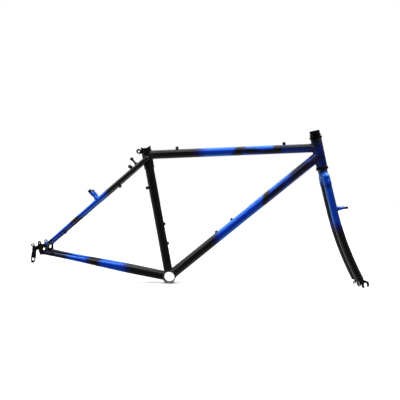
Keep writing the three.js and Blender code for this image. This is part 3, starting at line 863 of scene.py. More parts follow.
@dataclass(frozen=True)
class Steel:
    """Bare or plated steel, turned or rolled.

    The eye gets a metal whose gloss varies in fine, faint lines, with a darker film where oil or oxide
    has settled, and a lighter colour on the sharp edges that is partly rubbed metal and partly a painted
    highlight along the rims.
    """

    name: str
    colour: str
    film: str
    # The lighter colour of the sharp edges: partly rubbed metal, partly a painted highlight along the rims.
    bright: str
    roughness: float
    metallic: float = 1.0
    # Turning marks are 0.1 mm apart in life and drawn at about 0.7 mm so that they show.
    marks_per_metre: float = 1400.0
    # Oil and oxide settle in blotches about 8 mm across.
    blotches_per_metre: float = 120.0

    def material(self, origin: np.ndarray) -> Any:
        """Builds the material. The origin isn't used: nothing on it has its own place.

        Args:
            origin: The bottom bracket's centre, which the enamel needs and steel doesn't.

        Returns:
            The material.
        """
        made = bpy.data.materials.new(self.name)
        made.use_nodes = True
        tree = made.node_tree
        shader = tree.nodes["Principled BSDF"]
        where = add_node(tree, "ShaderNodeTexCoord").outputs["Object"]
        blotch = add_node(
            tree, "ShaderNodeTexNoise",
            inputs={"Vector": where, "Scale": self.blotches_per_metre, "Detail": 4.0},
        )
        spread = add_node(
            tree, "ShaderNodeMapRange",
            inputs={"Value": blotch.outputs["Fac"], "From Min": 0.4, "From Max": 0.7},
        )
        colour = blend(tree, spread.outputs[0], srgb(self.colour), srgb(self.film))
        # The sharp edges take the lighter colour: partly rubbed metal, partly a painted highlight along the
        # rims.
        rubbed_and_glinting = worn_edges(tree, where, 0.53, 0.66)
        tree.links.new(blend(tree, rubbed_and_glinting, colour, srgb(self.bright)), shader.inputs["Base Color"])
        marks = add_node(
            tree, "ShaderNodeTexNoise",
            inputs={"Vector": where, "Scale": self.marks_per_metre, "Detail": 2.0},
        )
        rough = add_node(
            tree, "ShaderNodeMapRange",
            inputs={
                "Value": marks.outputs["Fac"], "To Min": self.roughness * 0.75,
                "To Max": self.roughness * 1.3,
            },
        )
        tree.links.new(rough.outputs[0], shader.inputs["Roughness"])
        bump = add_node(
            tree, "ShaderNodeBump",
            inputs={"Strength": 0.25, "Distance": 0.00003, "Height": marks.outputs["Fac"]},
        )
        tree.links.new(bump.outputs[0], shader.inputs["Normal"])
        shader.inputs["Metallic"].default_value = self.metallic
        return made


# The bench: meshes in, pieces out
def linked(name: str, data: Any) -> Any:
    """A new object in the scene.

    Args:
        name: The object's name.
        data: The mesh, curve, lamp or camera that it holds.

    Returns:
        The object.
    """
    made = bpy.data.objects.new(name, data)
    bpy.context.scene.collection.objects.link(made)
    return made


def cleaned(mesh: Any, slivers: bool = True) -> None:
    """Merges a mesh's doubles and points its faces outwards.

    Args:
        mesh: The mesh.
        slivers: Whether faces with no area are taken out as well.
    """
    work = bmesh.new()
    work.from_mesh(mesh)
    bmesh.ops.remove_doubles(work, verts=work.verts, dist=MERGE_DISTANCE)
    if slivers:
        bmesh.ops.dissolve_degenerate(work, edges=work.edges, dist=MERGE_DISTANCE / 2)
    bmesh.ops.recalc_face_normals(work, faces=work.faces)
    work.to_mesh(mesh)
    work.free()


class Bench:
    """Turns shapes into Blender meshes in the row frame and reports each finished piece."""

    def __init__(self) -> None:
        """Finds the bottom bracket's centre, which all sizes are measured from."""
        low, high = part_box("bottom_bracket_shell")
        self.origin = np.array((low + high) / 2)
        self.materials: dict[str, Any] = {}

    def material(self, finish: Enamel | Steel) -> Any:
        """The material of a finish, built once.

        Args:
            finish: The finish.

        Returns:
            The material.
        """
        if finish.name not in self.materials:
            self.materials[finish.name] = finish.material(self.origin)
        return self.materials[finish.name]

    def metres(self, points: np.ndarray) -> np.ndarray:
        """Millimetres from the bottom bracket as metres in the row frame."""
        return points * MM + self.origin

    def raw(self, name: str, shape: Shape) -> Any:
        """A shape as a Blender object, with its doubles merged and its faces pointing outwards.

        Args:
            name: The object's name.
            shape: Its surfaces, in millimetres.

        Returns:
            The object.
        """
        mesh = bpy.data.meshes.new(name)
        mesh.from_pydata(self.metres(np.concatenate(shape.points)).tolist(), [], shape.faces)
        mesh.polygons.foreach_set("material_index", shape.skins)
        cleaned(mesh)
        return linked(name, mesh)

    def bake(self, made: Any) -> Any:
        """Applies an object's modifiers to a plain mesh of its own.

        Args:
            made: The object.

        Returns:
            The same object.
        """
        bpy.context.view_layer.update()
        evaluated = made.evaluated_get(bpy.context.evaluated_depsgraph_get())
        mesh = bpy.data.meshes.new_from_object(evaluated)
        made.modifiers.clear()
        made.data = mesh
        return made

    def fused(
        self, name: str, shape: Shape, voxel: float, passes: int, cutters: Sequence[Shape] = (),
    ) -> Any:
        """Overlapping solids melted into one skin with small fillets, and then cut.

        Args:
            name: The object's name.
            shape: Closed surfaces that overlap.
            voxel: Grain of the skin in millimetres.
            passes: Smoothing passes, each of which rounds corners a little more.
            cutters: Solids to take out of it, which leave crisp edges.

        Returns:
            The object, with no modifiers left.
        """
        made = self.raw(name, shape)
        melt = made.modifiers.new("melt", "REMESH")
        melt.mode, melt.voxel_size = "VOXEL", voxel * MM
        ease = made.modifiers.new("ease", "SMOOTH")
        ease.factor, ease.iterations = 0.5, passes
        self.bake(made)
        return self.cut(made, cutters)

    def cut(self, made: Any, cutters: Iterable[Shape]) -> Any:
        """Takes solids out of an object.

        Args:
            made: The object.
            cutters: The solids.

        Returns:
            The same object.
        """
        for i, cutter in enumerate(cutters):
            tool = self.raw(f"{made.name}_cutter_{i}", cutter)
            take = made.modifiers.new("take", "BOOLEAN")
            take.operation, take.solver, take.object = "DIFFERENCE", "EXACT", tool
            self.bake(made)
            bpy.data.objects.remove(tool)
        return made

    def dressed(
        self, made: Any, finishes: Sequence[Enamel | Steel], body: Body, nodes: Sequence[str] = (),
        slot: str = "black_clear_coat", crease: float = 35.0,
    ) -> Any:
        """Gives a piece its finishes, shading and body, and hides the CAD nodes that it stands for.

        Args:
            made: The object.
            finishes: Its finishes, in the order of its material indices.
            body: The body that it rides on.
            nodes: The CAD nodes that it stands for.
            slot: Not used.
            crease: The angle in degrees past which an edge is sharp.

        Returns:
            The same object.
        """
        mesh = made.data
        # Clearing a mesh's materials also forgets which face had which.
        skins = np.zeros(len(mesh.polygons), np.int32)
        mesh.polygons.foreach_get("material_index", skins)
        mesh.materials.clear()
        for finish in finishes:
            mesh.materials.append(self.material(finish))
        mesh.polygons.foreach_set("material_index", np.minimum(skins, len(finishes) - 1))
        mesh.polygons.foreach_set("use_smooth", [True] * len(mesh.polygons))
        mesh.set_sharp_from_angle(angle=math.radians(crease))
        mesh.update()
        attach(made, body.value)
        if nodes:
            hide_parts(*nodes)
        log.info("%s: %d faces, rides on %s", made.name, len(mesh.polygons), body.value)
        return made

    def plate(self, name: str, outline: Outline, y: float, thick: float, edge: float) -> Any:
        """A flat plate with rounded edges, cut to an outline.

        Args:
            name: The object's name.
            outline: Its shape in the frame's plane.
            y: Middle of its thickness.
            thick: Its thickness.
            edge: Radius of its edges.

        Returns:
            The object.
        """
        curve = bpy.data.curves.new(name, "CURVE")
        curve.dimensions, curve.fill_mode = "2D", "BOTH"
        curve.extrude, curve.bevel_depth = (thick / 2 - edge) * MM, edge * MM
        curve.offset, curve.bevel_resolution = -edge * MM, 2
        for loop in outline.loops():
            spline = curve.splines.new("POLY")
            spline.points.add(len(loop) - 1)
            flat = np.zeros((len(loop), 4))
            flat[:, :2], flat[:, 3] = loop * MM, 1
            spline.points.foreach_set("co", flat.ravel())
            spline.use_cyclic_u = True
        source = linked(name + "_outline", curve)
        bpy.context.view_layer.update()
        mesh = bpy.data.meshes.new_from_object(source.evaluated_get(bpy.context.evaluated_depsgraph_get()))
        bpy.data.objects.remove(source)
        place = Matrix.Translation(self.origin + ACROSS * y * MM)
        mesh.transform(place @ Matrix.Rotation(math.pi / 2, 4, "X"))
        cleaned(mesh, slivers=False)
        return linked(name, mesh)


# Geometry Nodes: what repeats or follows a line
class Recipe:
    """A Geometry Nodes tree with named inputs, run once on an object and then baked."""

    def __init__(self, name: str, sizes: dict[str, tuple[str, Any]]) -> None:
        """Starts the tree.

        Args:
            name: The tree's name.
            sizes: Its inputs: name to socket type and value.
        """
        self.tree = bpy.data.node_groups.new(name, "GeometryNodeTree")
        self.tree.interface.new_socket(name="Geometry", in_out="INPUT", socket_type="NodeSocketGeometry")
        self.sizes = sizes
        self.sockets = {
            label: self.tree.interface.new_socket(name=label, in_out="INPUT", socket_type=kind)
            for label, (kind, _) in sizes.items()
        }
        self.tree.interface.new_socket(name="Geometry", in_out="OUTPUT", socket_type="NodeSocketGeometry")
        self.inputs = self.tree.nodes.new("NodeGroupInput").outputs

    def add(
        self, kind: str, settings: dict[str, Any] | None = None, inputs: dict[Any, Any] | None = None,
    ) -> Any:
        """Adds a node to the tree."""
        return add_node(self.tree, kind, settings, inputs)

    def finish(self, geometry: Any, material: Any) -> None:
        """Ends the tree in Realize Instances and Set Material.

        Args:
            geometry: The socket that holds the finished shape.
            material: The shape's material.
        """
        real = self.add("GeometryNodeRealizeInstances", inputs={"Geometry": geometry})
        dressed = self.add(
            "GeometryNodeSetMaterial", inputs={"Geometry": real.outputs[0], "Material": material},
        )
        out = self.tree.nodes.new("NodeGroupOutput")
        self.tree.links.new(dressed.outputs[0], out.inputs[0])

    def run(self, bench: Bench, made: Any) -> Any:
        """Runs the tree on an object and bakes the result.

        Args:
            bench: The bench.
            made: The object.

        Returns:
            The same object, with a plain mesh.
        """
        modifier = made.modifiers.new(self.tree.name, "NODES")
        modifier.node_group = self.tree
        for label, socket in self.sockets.items():
            modifier[socket.identifier] = self.sizes[label][1]
        return bench.bake(made)


@dataclass
class WeldBeads:
    """The ripples of a hand-laid weld, which follow the line where two tubes meet."""

    bead_radius: float = 2.1
    ripple_pitch: float = 2.0
    ripple_depth: float = 0.16
    steps_in_ripple: int = 5

    def lay(self, bench: Bench, name: str, seams: Sequence[np.ndarray], finish: Enamel) -> Any:
        """Lays beads along closed lines.

        Args:
            bench: The bench.
            name: The piece's name.
            seams: Closed lines in millimetres.
            finish: The enamel over them.

        Returns:
            The piece.
        """
        recipe = Recipe(name, {
            "Bead Radius": ("NodeSocketFloat", self.bead_radius * MM),
            "Ripple Pitch": ("NodeSocketFloat", self.ripple_pitch * MM),
            "Ripple Depth": ("NodeSocketFloat", self.ripple_depth),
        })
        line = recipe.add("GeometryNodeMeshToCurve", inputs={"Mesh": recipe.inputs["Geometry"]})
        step = recipe.add(
            "ShaderNodeMath", {"operation": "DIVIDE"},
            {0: recipe.inputs["Ripple Pitch"], 1: self.steps_in_ripple},
        )
        even = recipe.add(
            "GeometryNodeResampleCurve", {"mode": "LENGTH"},
            {"Curve": line.outputs[0], "Length": step.outputs[0]},
        )
        run = recipe.add("GeometryNodeSplineParameter").outputs["Length"]
        turns = recipe.add(
            "ShaderNodeMath", {"operation": "DIVIDE"}, {0: run, 1: recipe.inputs["Ripple Pitch"]},
        )
        phase = recipe.add("ShaderNodeMath", {"operation": "FRACT"}, {0: turns.outputs[0]})
        dip = recipe.add("ShaderNodeMath", TIMES, {0: phase.outputs[0], 1: recipe.inputs["Ripple Depth"]})
        scale = recipe.add("ShaderNodeMath", {"operation": "SUBTRACT"}, {0: 1.0, 1: dip.outputs[0]})
        rim = recipe.add(
            "GeometryNodeCurvePrimitiveCircle",
            inputs={"Resolution": 12, "Radius": recipe.inputs["Bead Radius"]},
        )
        bead = recipe.add(
            "GeometryNodeCurveToMesh",
            inputs={"Curve": even.outputs[0], "Profile Curve": rim.outputs[0], "Scale": scale.outputs[0]},
        )
        recipe.finish(bead.outputs[0], bench.material(finish))
        mesh = bpy.data.meshes.new(name)
        points, edges = [], []
        for seam in seams:
            start = len(points)
            points += bench.metres(seam).tolist()
            edges += [(start + i, start + (i + 1) % len(seam)) for i in range(len(seam))]
        mesh.from_pydata(points, edges, [])
        return recipe.run(bench, linked(name, mesh))


def set_out(
    bench: Bench, name: str, template: Any, places: Sequence[tuple[np.ndarray, ...]],
    finish: Enamel | Steel,
) -> Any:
    """Puts a copy of a template at each place.

    Args:
        bench: The bench.
        name: The piece's name.
        template: A small object at the origin, with Z out of the tube and X along it. It is removed.
        places: For each copy its place, its outward direction and its run, in millimetres.
        finish: Its finish.

    Returns:
        The piece.
    """
    recipe = Recipe(name, {"Fitting": ("NodeSocketObject", template)})
    source = recipe.add("GeometryNodeObjectInfo", inputs={"Object": recipe.inputs["Fitting"]})
    out, run = (
        recipe.add(
            "GeometryNodeInputNamedAttribute", {"data_type": "FLOAT_VECTOR"}, {"Name": label},
        ).outputs[0]
        for label in ("out", "run")
    )
    turn = recipe.add(
        "FunctionNodeAxesToRotation", {"primary_axis": "Z", "secondary_axis": "X"},
        {"Primary Axis": out, "Secondary Axis": run},
    )
    copies = recipe.add(
        "GeometryNodeInstanceOnPoints",
        inputs={
            "Points": recipe.inputs["Geometry"], "Instance": source.outputs["Geometry"],
            "Rotation": turn.outputs[0],
        },
    )
    recipe.finish(copies.outputs[0], bench.material(finish))
    mesh = bpy.data.meshes.new(name)
    mesh.from_pydata(bench.metres(np.array([p for p, _, _ in places])).tolist(), [], [])
    for label, column in (("out", 1), ("run", 2)):
        values = np.array([place[column] for place in places], np.float32)
        mesh.attributes.new(label, "FLOAT_VECTOR", "POINT").data.foreach_set("vector", values.ravel())
    made = recipe.run(bench, linked(name, mesh))
    bpy.data.objects.remove(template)
    return made


@dataclass
class BallRing:
    """Bearing balls held in a pressed cage."""

    pitch: float = 16.9
    ball: float = 1.98
    count: int = 20

    def build(self, bench: Bench, name: str, height: float, fork: ForkLine, finish: Steel) -> Any:
        """Builds the ring round the steering axis.

        Args:
            bench: The bench.
            name: The piece's name.
            height: Its height above the crown race seat.
            fork: The steering axis.
            finish: Its steel.

        Returns:
            The piece.
        """
        recipe = Recipe(name, {
            "Pitch Radius": ("NodeSocketFloat", self.pitch * MM),
            "Ball Radius": ("NodeSocketFloat", self.ball * MM),
            "Balls": ("NodeSocketInt", self.count),
        })
        ring = recipe.add(
            "GeometryNodeMeshCircle",
            inputs={"Vertices": recipe.inputs["Balls"], "Radius": recipe.inputs["Pitch Radius"]},
        )
        ball = recipe.add(
            "GeometryNodeMeshIcoSphere", inputs={"Radius": recipe.inputs["Ball Radius"], "Subdivisions": 3},
        )
        balls = recipe.add(
            "GeometryNodeInstanceOnPoints", inputs={"Points": ring.outputs[0], "Instance": ball.outputs[0]},
        )
        hoop = recipe.add(
            "GeometryNodeCurvePrimitiveCircle",
            inputs={"Resolution": 80, "Radius": recipe.inputs["Pitch Radius"]},
        )
        strip = recipe.add("GeometryNodeCurvePrimitiveCircle", inputs={"Resolution": 8, "Radius": 0.8 * MM})
        cage = recipe.add(
            "GeometryNodeCurveToMesh", inputs={"Curve": hoop.outputs[0], "Profile Curve": strip.outputs[0]},
        )
        both = recipe.add("GeometryNodeJoinGeometry", inputs={0: balls.outputs[0]})
        recipe.tree.links.new(cage.outputs[0], both.inputs[0])
        lean = -math.radians(fork.lean)
        centre = bench.metres(fork.at(0, 0, height))
        placed = recipe.add(
            "GeometryNodeTransform",
            inputs={"Geometry": both.outputs[0], "Translation": tuple(centre), "Rotation": (0.0, lean, 0.0)},
        )
        recipe.finish(placed.outputs[0], bench.material(finish))
        return recipe.run(bench, linked(name, bpy.data.meshes.new(name)))


@dataclass
class ShellThreads:
    """The helical threads cut in both ends of the bottom bracket shell."""

    bore: float = 17.45
    pitch: float = 1.06
    turns: int = 20
    tooth: float = 0.42

    def build(self, bench: Bench, name: str, half_width: float, finish: Steel) -> Any:
        """Builds both threads as raised helices on the bore.

        Args:
            bench: The bench.
            name: The piece's name.
            half_width: Half of the length of the shell.
            finish: The steel of the shell.

        Returns:
            The piece.
        """
        recipe = Recipe(name, {
            "Bore Radius": ("NodeSocketFloat", self.bore * MM),
            "Turns": ("NodeSocketFloat", float(self.turns)),
            "Tooth": ("NodeSocketFloat", self.tooth * MM),
        })
        depth = self.turns * self.pitch * MM
        helix = recipe.add(
            "GeometryNodeCurveSpiral",
            inputs={
                "Resolution": 72, "Rotations": recipe.inputs["Turns"],
                "Start Radius": recipe.inputs["Bore Radius"],
                "End Radius": recipe.inputs["Bore Radius"], "Height": depth,
            },
        )
        tooth = recipe.add(
            "GeometryNodeCurvePrimitiveCircle", inputs={"Resolution": 4, "Radius": recipe.inputs["Tooth"]},
        )
        thread = recipe.add(
            "GeometryNodeCurveToMesh",
            inputs={"Curve": helix.outputs[0], "Profile Curve": tooth.outputs[0], "Fill Caps": True},
        )
        both = recipe.add("GeometryNodeJoinGeometry")
        for sign in (1, -1):
            start = bench.origin + ACROSS * sign * (half_width - 0.9) * MM
            turned = recipe.add(
                "GeometryNodeTransform",
                inputs={
                    "Geometry": thread.outputs[0], "Translation": tuple(start),
                    "Rotation": (sign * math.pi / 2, 0.0, 0.0),
                },
            )
            recipe.tree.links.new(turned.outputs[0], both.inputs[0])
        recipe.finish(both.outputs[0], bench.material(finish))
        return recipe.run(bench, linked(name, bpy.data.meshes.new(name)))


# Lines that the sub-assemblies share
@dataclass
class ForkLine:
    """The steering axis and the head tube on it."""

    lean: float = 12.88
    head_foot: Pair = (488.3, 366.4)
    head_length: float = 91.8
    head_radius: float = 18.0
    lower_stack: float = 9.8

    def at(self, forward: float, out: float, height: float) -> np.ndarray:
        """A point of the fork's own frame: forward of its axis, out to a side, above the crown race seat."""
        seat = in_plane(self.head_foot) - up(self.lean) * self.lower_stack
        return seat + ahead(self.lean) * forward + ACROSS * out + up(self.lean) * height

    @property
    def head(self) -> Barrel:
        """The head tube as a cylinder."""
        return Barrel(in_plane(self.head_foot), up(self.lean), self.head_radius)


@dataclass
class FrontLines:
    """The main tubes' lines."""

    seat_lean: float = 11.53
    seat_radius: float = 14.3
    seat_top: float = 431.0
    lug_radius: float = 16.3
    lug_bottom: float = 357.0
    edge_dip: float = 6.7
    shell_radius: float = 20.0
    shell_half_width: float = 36.5
    top_rear: Pair = (-79.9, 394.0)
    top_front: Pair = (474.4, 427.9)
    top_radius: float = 14.3
    down_rear: Pair = (0.0, 1.2)
    down_front: Pair = (479.0, 404.2)
    down_radius: float = 15.9

    def seat_at(self, height: float, back: float = 0.0, y: float = 0.0) -> np.ndarray:
        """A point up the seat tube's axis and behind it."""
        return up(self.seat_lean) * height - ahead(self.seat_lean) * back + ACROSS * y

    @property
    def shell(self) -> Barrel:
        """The bottom bracket shell as a cylinder."""
        return Barrel(np.zeros(3), ACROSS, self.shell_radius)

    @property
    def seat(self) -> Barrel:
        """The seat tube as a cylinder."""
        return Barrel(np.zeros(3), up(self.seat_lean), self.seat_radius)

    @property
    def lug(self) -> Barrel:
        """The seat lug as a cylinder."""
        return Barrel(np.zeros(3), up(self.seat_lean), self.lug_radius)

    @property
    def top_tube(self) -> Tube:
        """The top tube."""
        return Tube.straight(in_plane(self.top_rear), in_plane(self.top_front), self.top_radius, 0.9)

    @property
    def down_tube(self) -> Tube:
        """The down tube."""
        return Tube.straight(in_plane(self.down_rear), in_plane(self.down_front), self.down_radius, 0.9)

    @property
    def seat_tube(self) -> Tube:
        """The seat tube, up to the middle of its lug."""
        return Tube.straight(np.zeros(3), self.seat_at(self.lug_bottom + 12), self.seat_radius, 1.1)


def smoke_on(
    tube: Tube, run: float, half_length: float, height: float, half_height: float, skew: float = 0.0,
    **more: Any,
) -> Smoke:
    """A pass of black placed on a tube.

    Args:
        tube: The tube.
        run: How far along it the middle of the pass is.
        half_length: Half of its length.
        height: How far above the tube's middle line it is.
        half_height: Half of its height.
        skew: How far it is turned from the tube's line, in degrees.
        more: The pass's softness, depth and side.

    Returns:
        The pass.
    """
    heading = tube.heading(run)
    angle = math.degrees(math.atan2(heading[2], heading[0]))
    normal = np.array([-heading[2], 0.0, heading[0]])
    centre = tube.at(run) + normal * height * (1 if heading[0] > 0 else -1)
    return Smoke((float(centre[0]), float(centre[2])), half_length, half_height, angle + skew, **more)


# Finishes used
BLACK_ENAMEL = Enamel("black_gloss_enamel")
# Turned bearing steel, plated black: a satin black metal with a lighter grey painted on its rims, as a
# highlight and as rubbed metal.
BLACK_PLATED = Steel("black_plated_bearing_steel", "#17171a", "#0e0e10", "#6e7076", 0.3, 0.9)
# Hardened screw steel with black oxide: duller than the plated rings.
BLACK_OXIDE = Steel("black_oxide_screw_steel", "#222226", "#141416", "#5c5d61", 0.42, 0.9)
# Chromium-molybdenum tube steel as machined, with a film of oil: warm grey.
MACHINED = Steel("machined_chromoly_steel", "#b4b2ac", "#8d877c", "#d6d5d0", 0.32)
# Ground bearing steel: bright and smooth.
BALL_STEEL = Steel("ground_ball_steel", "#c9ccd1", "#aeb1b6", "#e2e4e8", 0.12)


# Sub-assemblies
@dataclass
class FrontTriangle:
    """Seat, top, down and head tubes, the bottom bracket shell, the seat lug and what is brazed to them."""

    bench: Bench
    fork: ForkLine
    lines: FrontLines = field(default_factory=FrontLines)
    binder_back: float = 23.9
    binder_up: float = 418.0
    binder_radius: float = 8.0
    binder_hole: float = 3.8
    binder_half_width: float = 13.0
    slot_width: float = 2.6
    head_wall: float = 1.4
    lug_bore: float = 13.2
    slot_length: float = 42.0

    def enamel(self) -> Enamel:
        """Blue over the two long tubes, with black misted over both ends and in long slanting passes.

        Returns:
            The enamel.
        """
        top, down = self.lines.top_tube, self.lines.down_tube
        head_top = self.fork.at(0, 0, self.fork.lower_stack + self.fork.head_length)
        head = Tube.straight(in_plane(self.fork.head_foot), head_top, self.fork.head_radius, self.head_wall)
        return Enamel("blue_and_black_fade_enamel_front", (
            smoke_on(top, 35, 140, -2, 70, soft=0.26),
            smoke_on(top, 298, 30, 0, 14, 50, soft=0.6),
            smoke_on(top, 337, 46, -2, 8, -3, soft=0.7),
            smoke_on(top, 404, 46, -6, 7.5, 0, soft=0.7),
            smoke_on(top, 424, 17, 3, 15, 30, soft=0.4),
            smoke_on(top, 500, 84, 7, 7.5, 0, soft=0.4, depth=0.97),
            smoke_on(top, 500, 120, -8, 13, 0, soft=0.4, depth=0.5),
            smoke_on(down, 40, 167, 0, 60, 6, soft=0.18),
            smoke_on(down, 403, 34, 0, 11, 42, soft=0.6),
            smoke_on(down, 446, 44, -2, 7.5, 0, soft=0.7),
            smoke_on(down, 500, 135, -3, 13, 0, soft=0.35, depth=0.5),
            smoke_on(down, 560, 80, -3, 8, 0, soft=0.4, depth=0.97),
            smoke_on(down, 548, 42, 8, 9, 0, soft=0.5, depth=0.9),
            smoke_on(down, 560, 190, -13, 8, 0, soft=0.4, depth=0.5),
            smoke_on(head, 46, 70, 0, 40, 0, soft=0.2, depth=0.7),
            smoke_on(head, 98, 20, 0, 30, 0, soft=0.5),
            smoke_on(head, 31, 10, 3, 24, 0, soft=0.8, depth=0.92),
        ))

    def build(self) -> None:
        """Builds and dresses the front triangle."""
        lines, bench, fade = self.lines, self.bench, self.enamel()
        seat, top, down = lines.seat_tube, lines.top_tube, lines.down_tube
        made = bench.raw("seat_tube_steel", seat.walled(start=[lines.shell]))
        bench.dressed(made, (BLACK_ENAMEL, MACHINED), Body.FRAME, ["seat_tube"])
        made = bench.raw("top_tube_steel", top.walled([lines.lug], [self.fork.head]))
        bench.dressed(made, (fade, MACHINED), Body.FRAME, ["top_tube"], "blue_fade_clear_coat")
        made = bench.raw("down_tube_steel", down.walled([lines.shell, lines.seat], [self.fork.head]))
        bench.dressed(made, (fade, MACHINED), Body.FRAME, ["down_tube"], "blue_fade_clear_coat")
        self.head_tube(fade)
        self.shell()
        self.seat_lug()
        beads = WeldBeads()
        made = beads.lay(
            bench, "head_tube_welds",
            [top.seam([self.fork.head], False), down.seam([self.fork.head], False)], fade,
        )
        bench.dressed(made, (fade,), Body.FRAME, slot="blue_fade_clear_coat", crease=60)
        seams = [
            top.seam([lines.lug], True), down.seam([lines.shell, lines.seat], True),
            seat.seam([lines.shell], True),
        ]
        made = beads.lay(bench, "seat_and_shell_welds", seams, BLACK_ENAMEL)
        bench.dressed(made, (BLACK_ENAMEL,), Body.FRAME, crease=60)

    def head_tube(self, fade: Enamel) -> None:
        """The head tube, with its reamed bore and faced ends in bare steel.

        Args:
            fade: The enamel on it.
        """
        length, radius = self.fork.head_length, self.fork.head_radius
        profile = rounded(
            [(radius - self.head_wall, 0), (radius, 0), (radius, length), (radius - self.head_wall, length)],
            0.4,
        )
        shape = Shape().turned(
            profile, in_plane(self.fork.head_foot), up(self.fork.lean), 96, lambda r,
            h: int(r < radius - 0.6),
        )
        self.bench.dressed(
            self.bench.raw("head_tube_steel", shape), (fade, MACHINED), Body.FRAME, ["head_tube"],
        )

    def shell(self) -> None:
        """The bottom bracket shell: painted outside, machined and threaded inside."""
        half, outer = self.lines.shell_half_width, self.lines.shell_radius
        profile = rounded(
            [
                (outer, -half), (outer, half), (17.5, half), (17.5, 13), (18.1, 12.4), (18.1, -12.4),
                (17.5, -13), (17.5, -half),
            ],
            0.5,
        )
        shape = Shape().turned(profile, np.zeros(3), ACROSS, 112, lambda r, h: int(r < 19.0))
        made = self.bench.raw("bottom_bracket_shell_steel", shape)
        self.bench.dressed(made, (BLACK_ENAMEL, MACHINED), Body.FRAME, ["bottom_bracket_shell"])
        made = ShellThreads().build(self.bench, "bottom_bracket_threads", half, MACHINED)
        self.bench.dressed(made, (MACHINED,), Body.FRAME, slot="bare_steel")

    def seat_lug(self) -> None:
        """The seat lug: a sleeve with a dipped rim, a slot at the back and two binder ears."""
        lines = self.lines
        axis, back = up(lines.seat_lean), -ahead(lines.seat_lean)
        sleeve = Shape().turned(
            [
                (0, lines.lug_bottom), (lines.lug_radius, lines.lug_bottom),
                (lines.lug_radius, lines.seat_top), (0, lines.seat_top),
            ],
            np.zeros(3), axis, 72,
        )
        width, radius = self.binder_half_width, self.binder_radius
        centre = lines.seat_at(self.binder_up, self.binder_back)
        sleeve.turned([(0, -width), (radius, -width), (radius, width), (0, width)], centre, ACROSS, 48)
        web = lines.seat_at(self.binder_up - 2.5, (14 + self.binder_back) / 2)
        sleeve.block(web, (back, ACROSS, axis), (12, 18, 12))
        dip = (lines.lug_radius**2 + lines.edge_dip**2) / (2 * lines.edge_dip)
        bore = Shape().turned(
            [
                (0, lines.lug_bottom - 9), (self.lug_bore, lines.lug_bottom - 9),
                (self.lug_bore, lines.seat_top + 9), (0, lines.seat_top + 9),
            ],
            np.zeros(3), axis, 72,
        )
        saddle = Shape().turned(
            [(0, -40), (dip, -40), (dip, 40), (0, 40)], lines.seat_at(lines.seat_top - lines.edge_dip + dip),
            ACROSS, 96,
        )
        slot = Shape().block(
            lines.seat_at(lines.seat_top - self.slot_length / 2 + 5, 24), (ACROSS, axis, back),
            (self.slot_width, self.slot_length + 10, 40),
        )
        hole = Shape().turned(
            [(0, -30), (self.binder_hole, -30), (self.binder_hole, 30), (0, 30)], centre, ACROSS, 32,
        )
        made = self.bench.fused("seat_lug_steel", sleeve, 0.7, 3, [bore, saddle, slot, hole])
        self.bench.dressed(made, (BLACK_ENAMEL,), Body.FRAME, ["seat_lug"], crease=40)


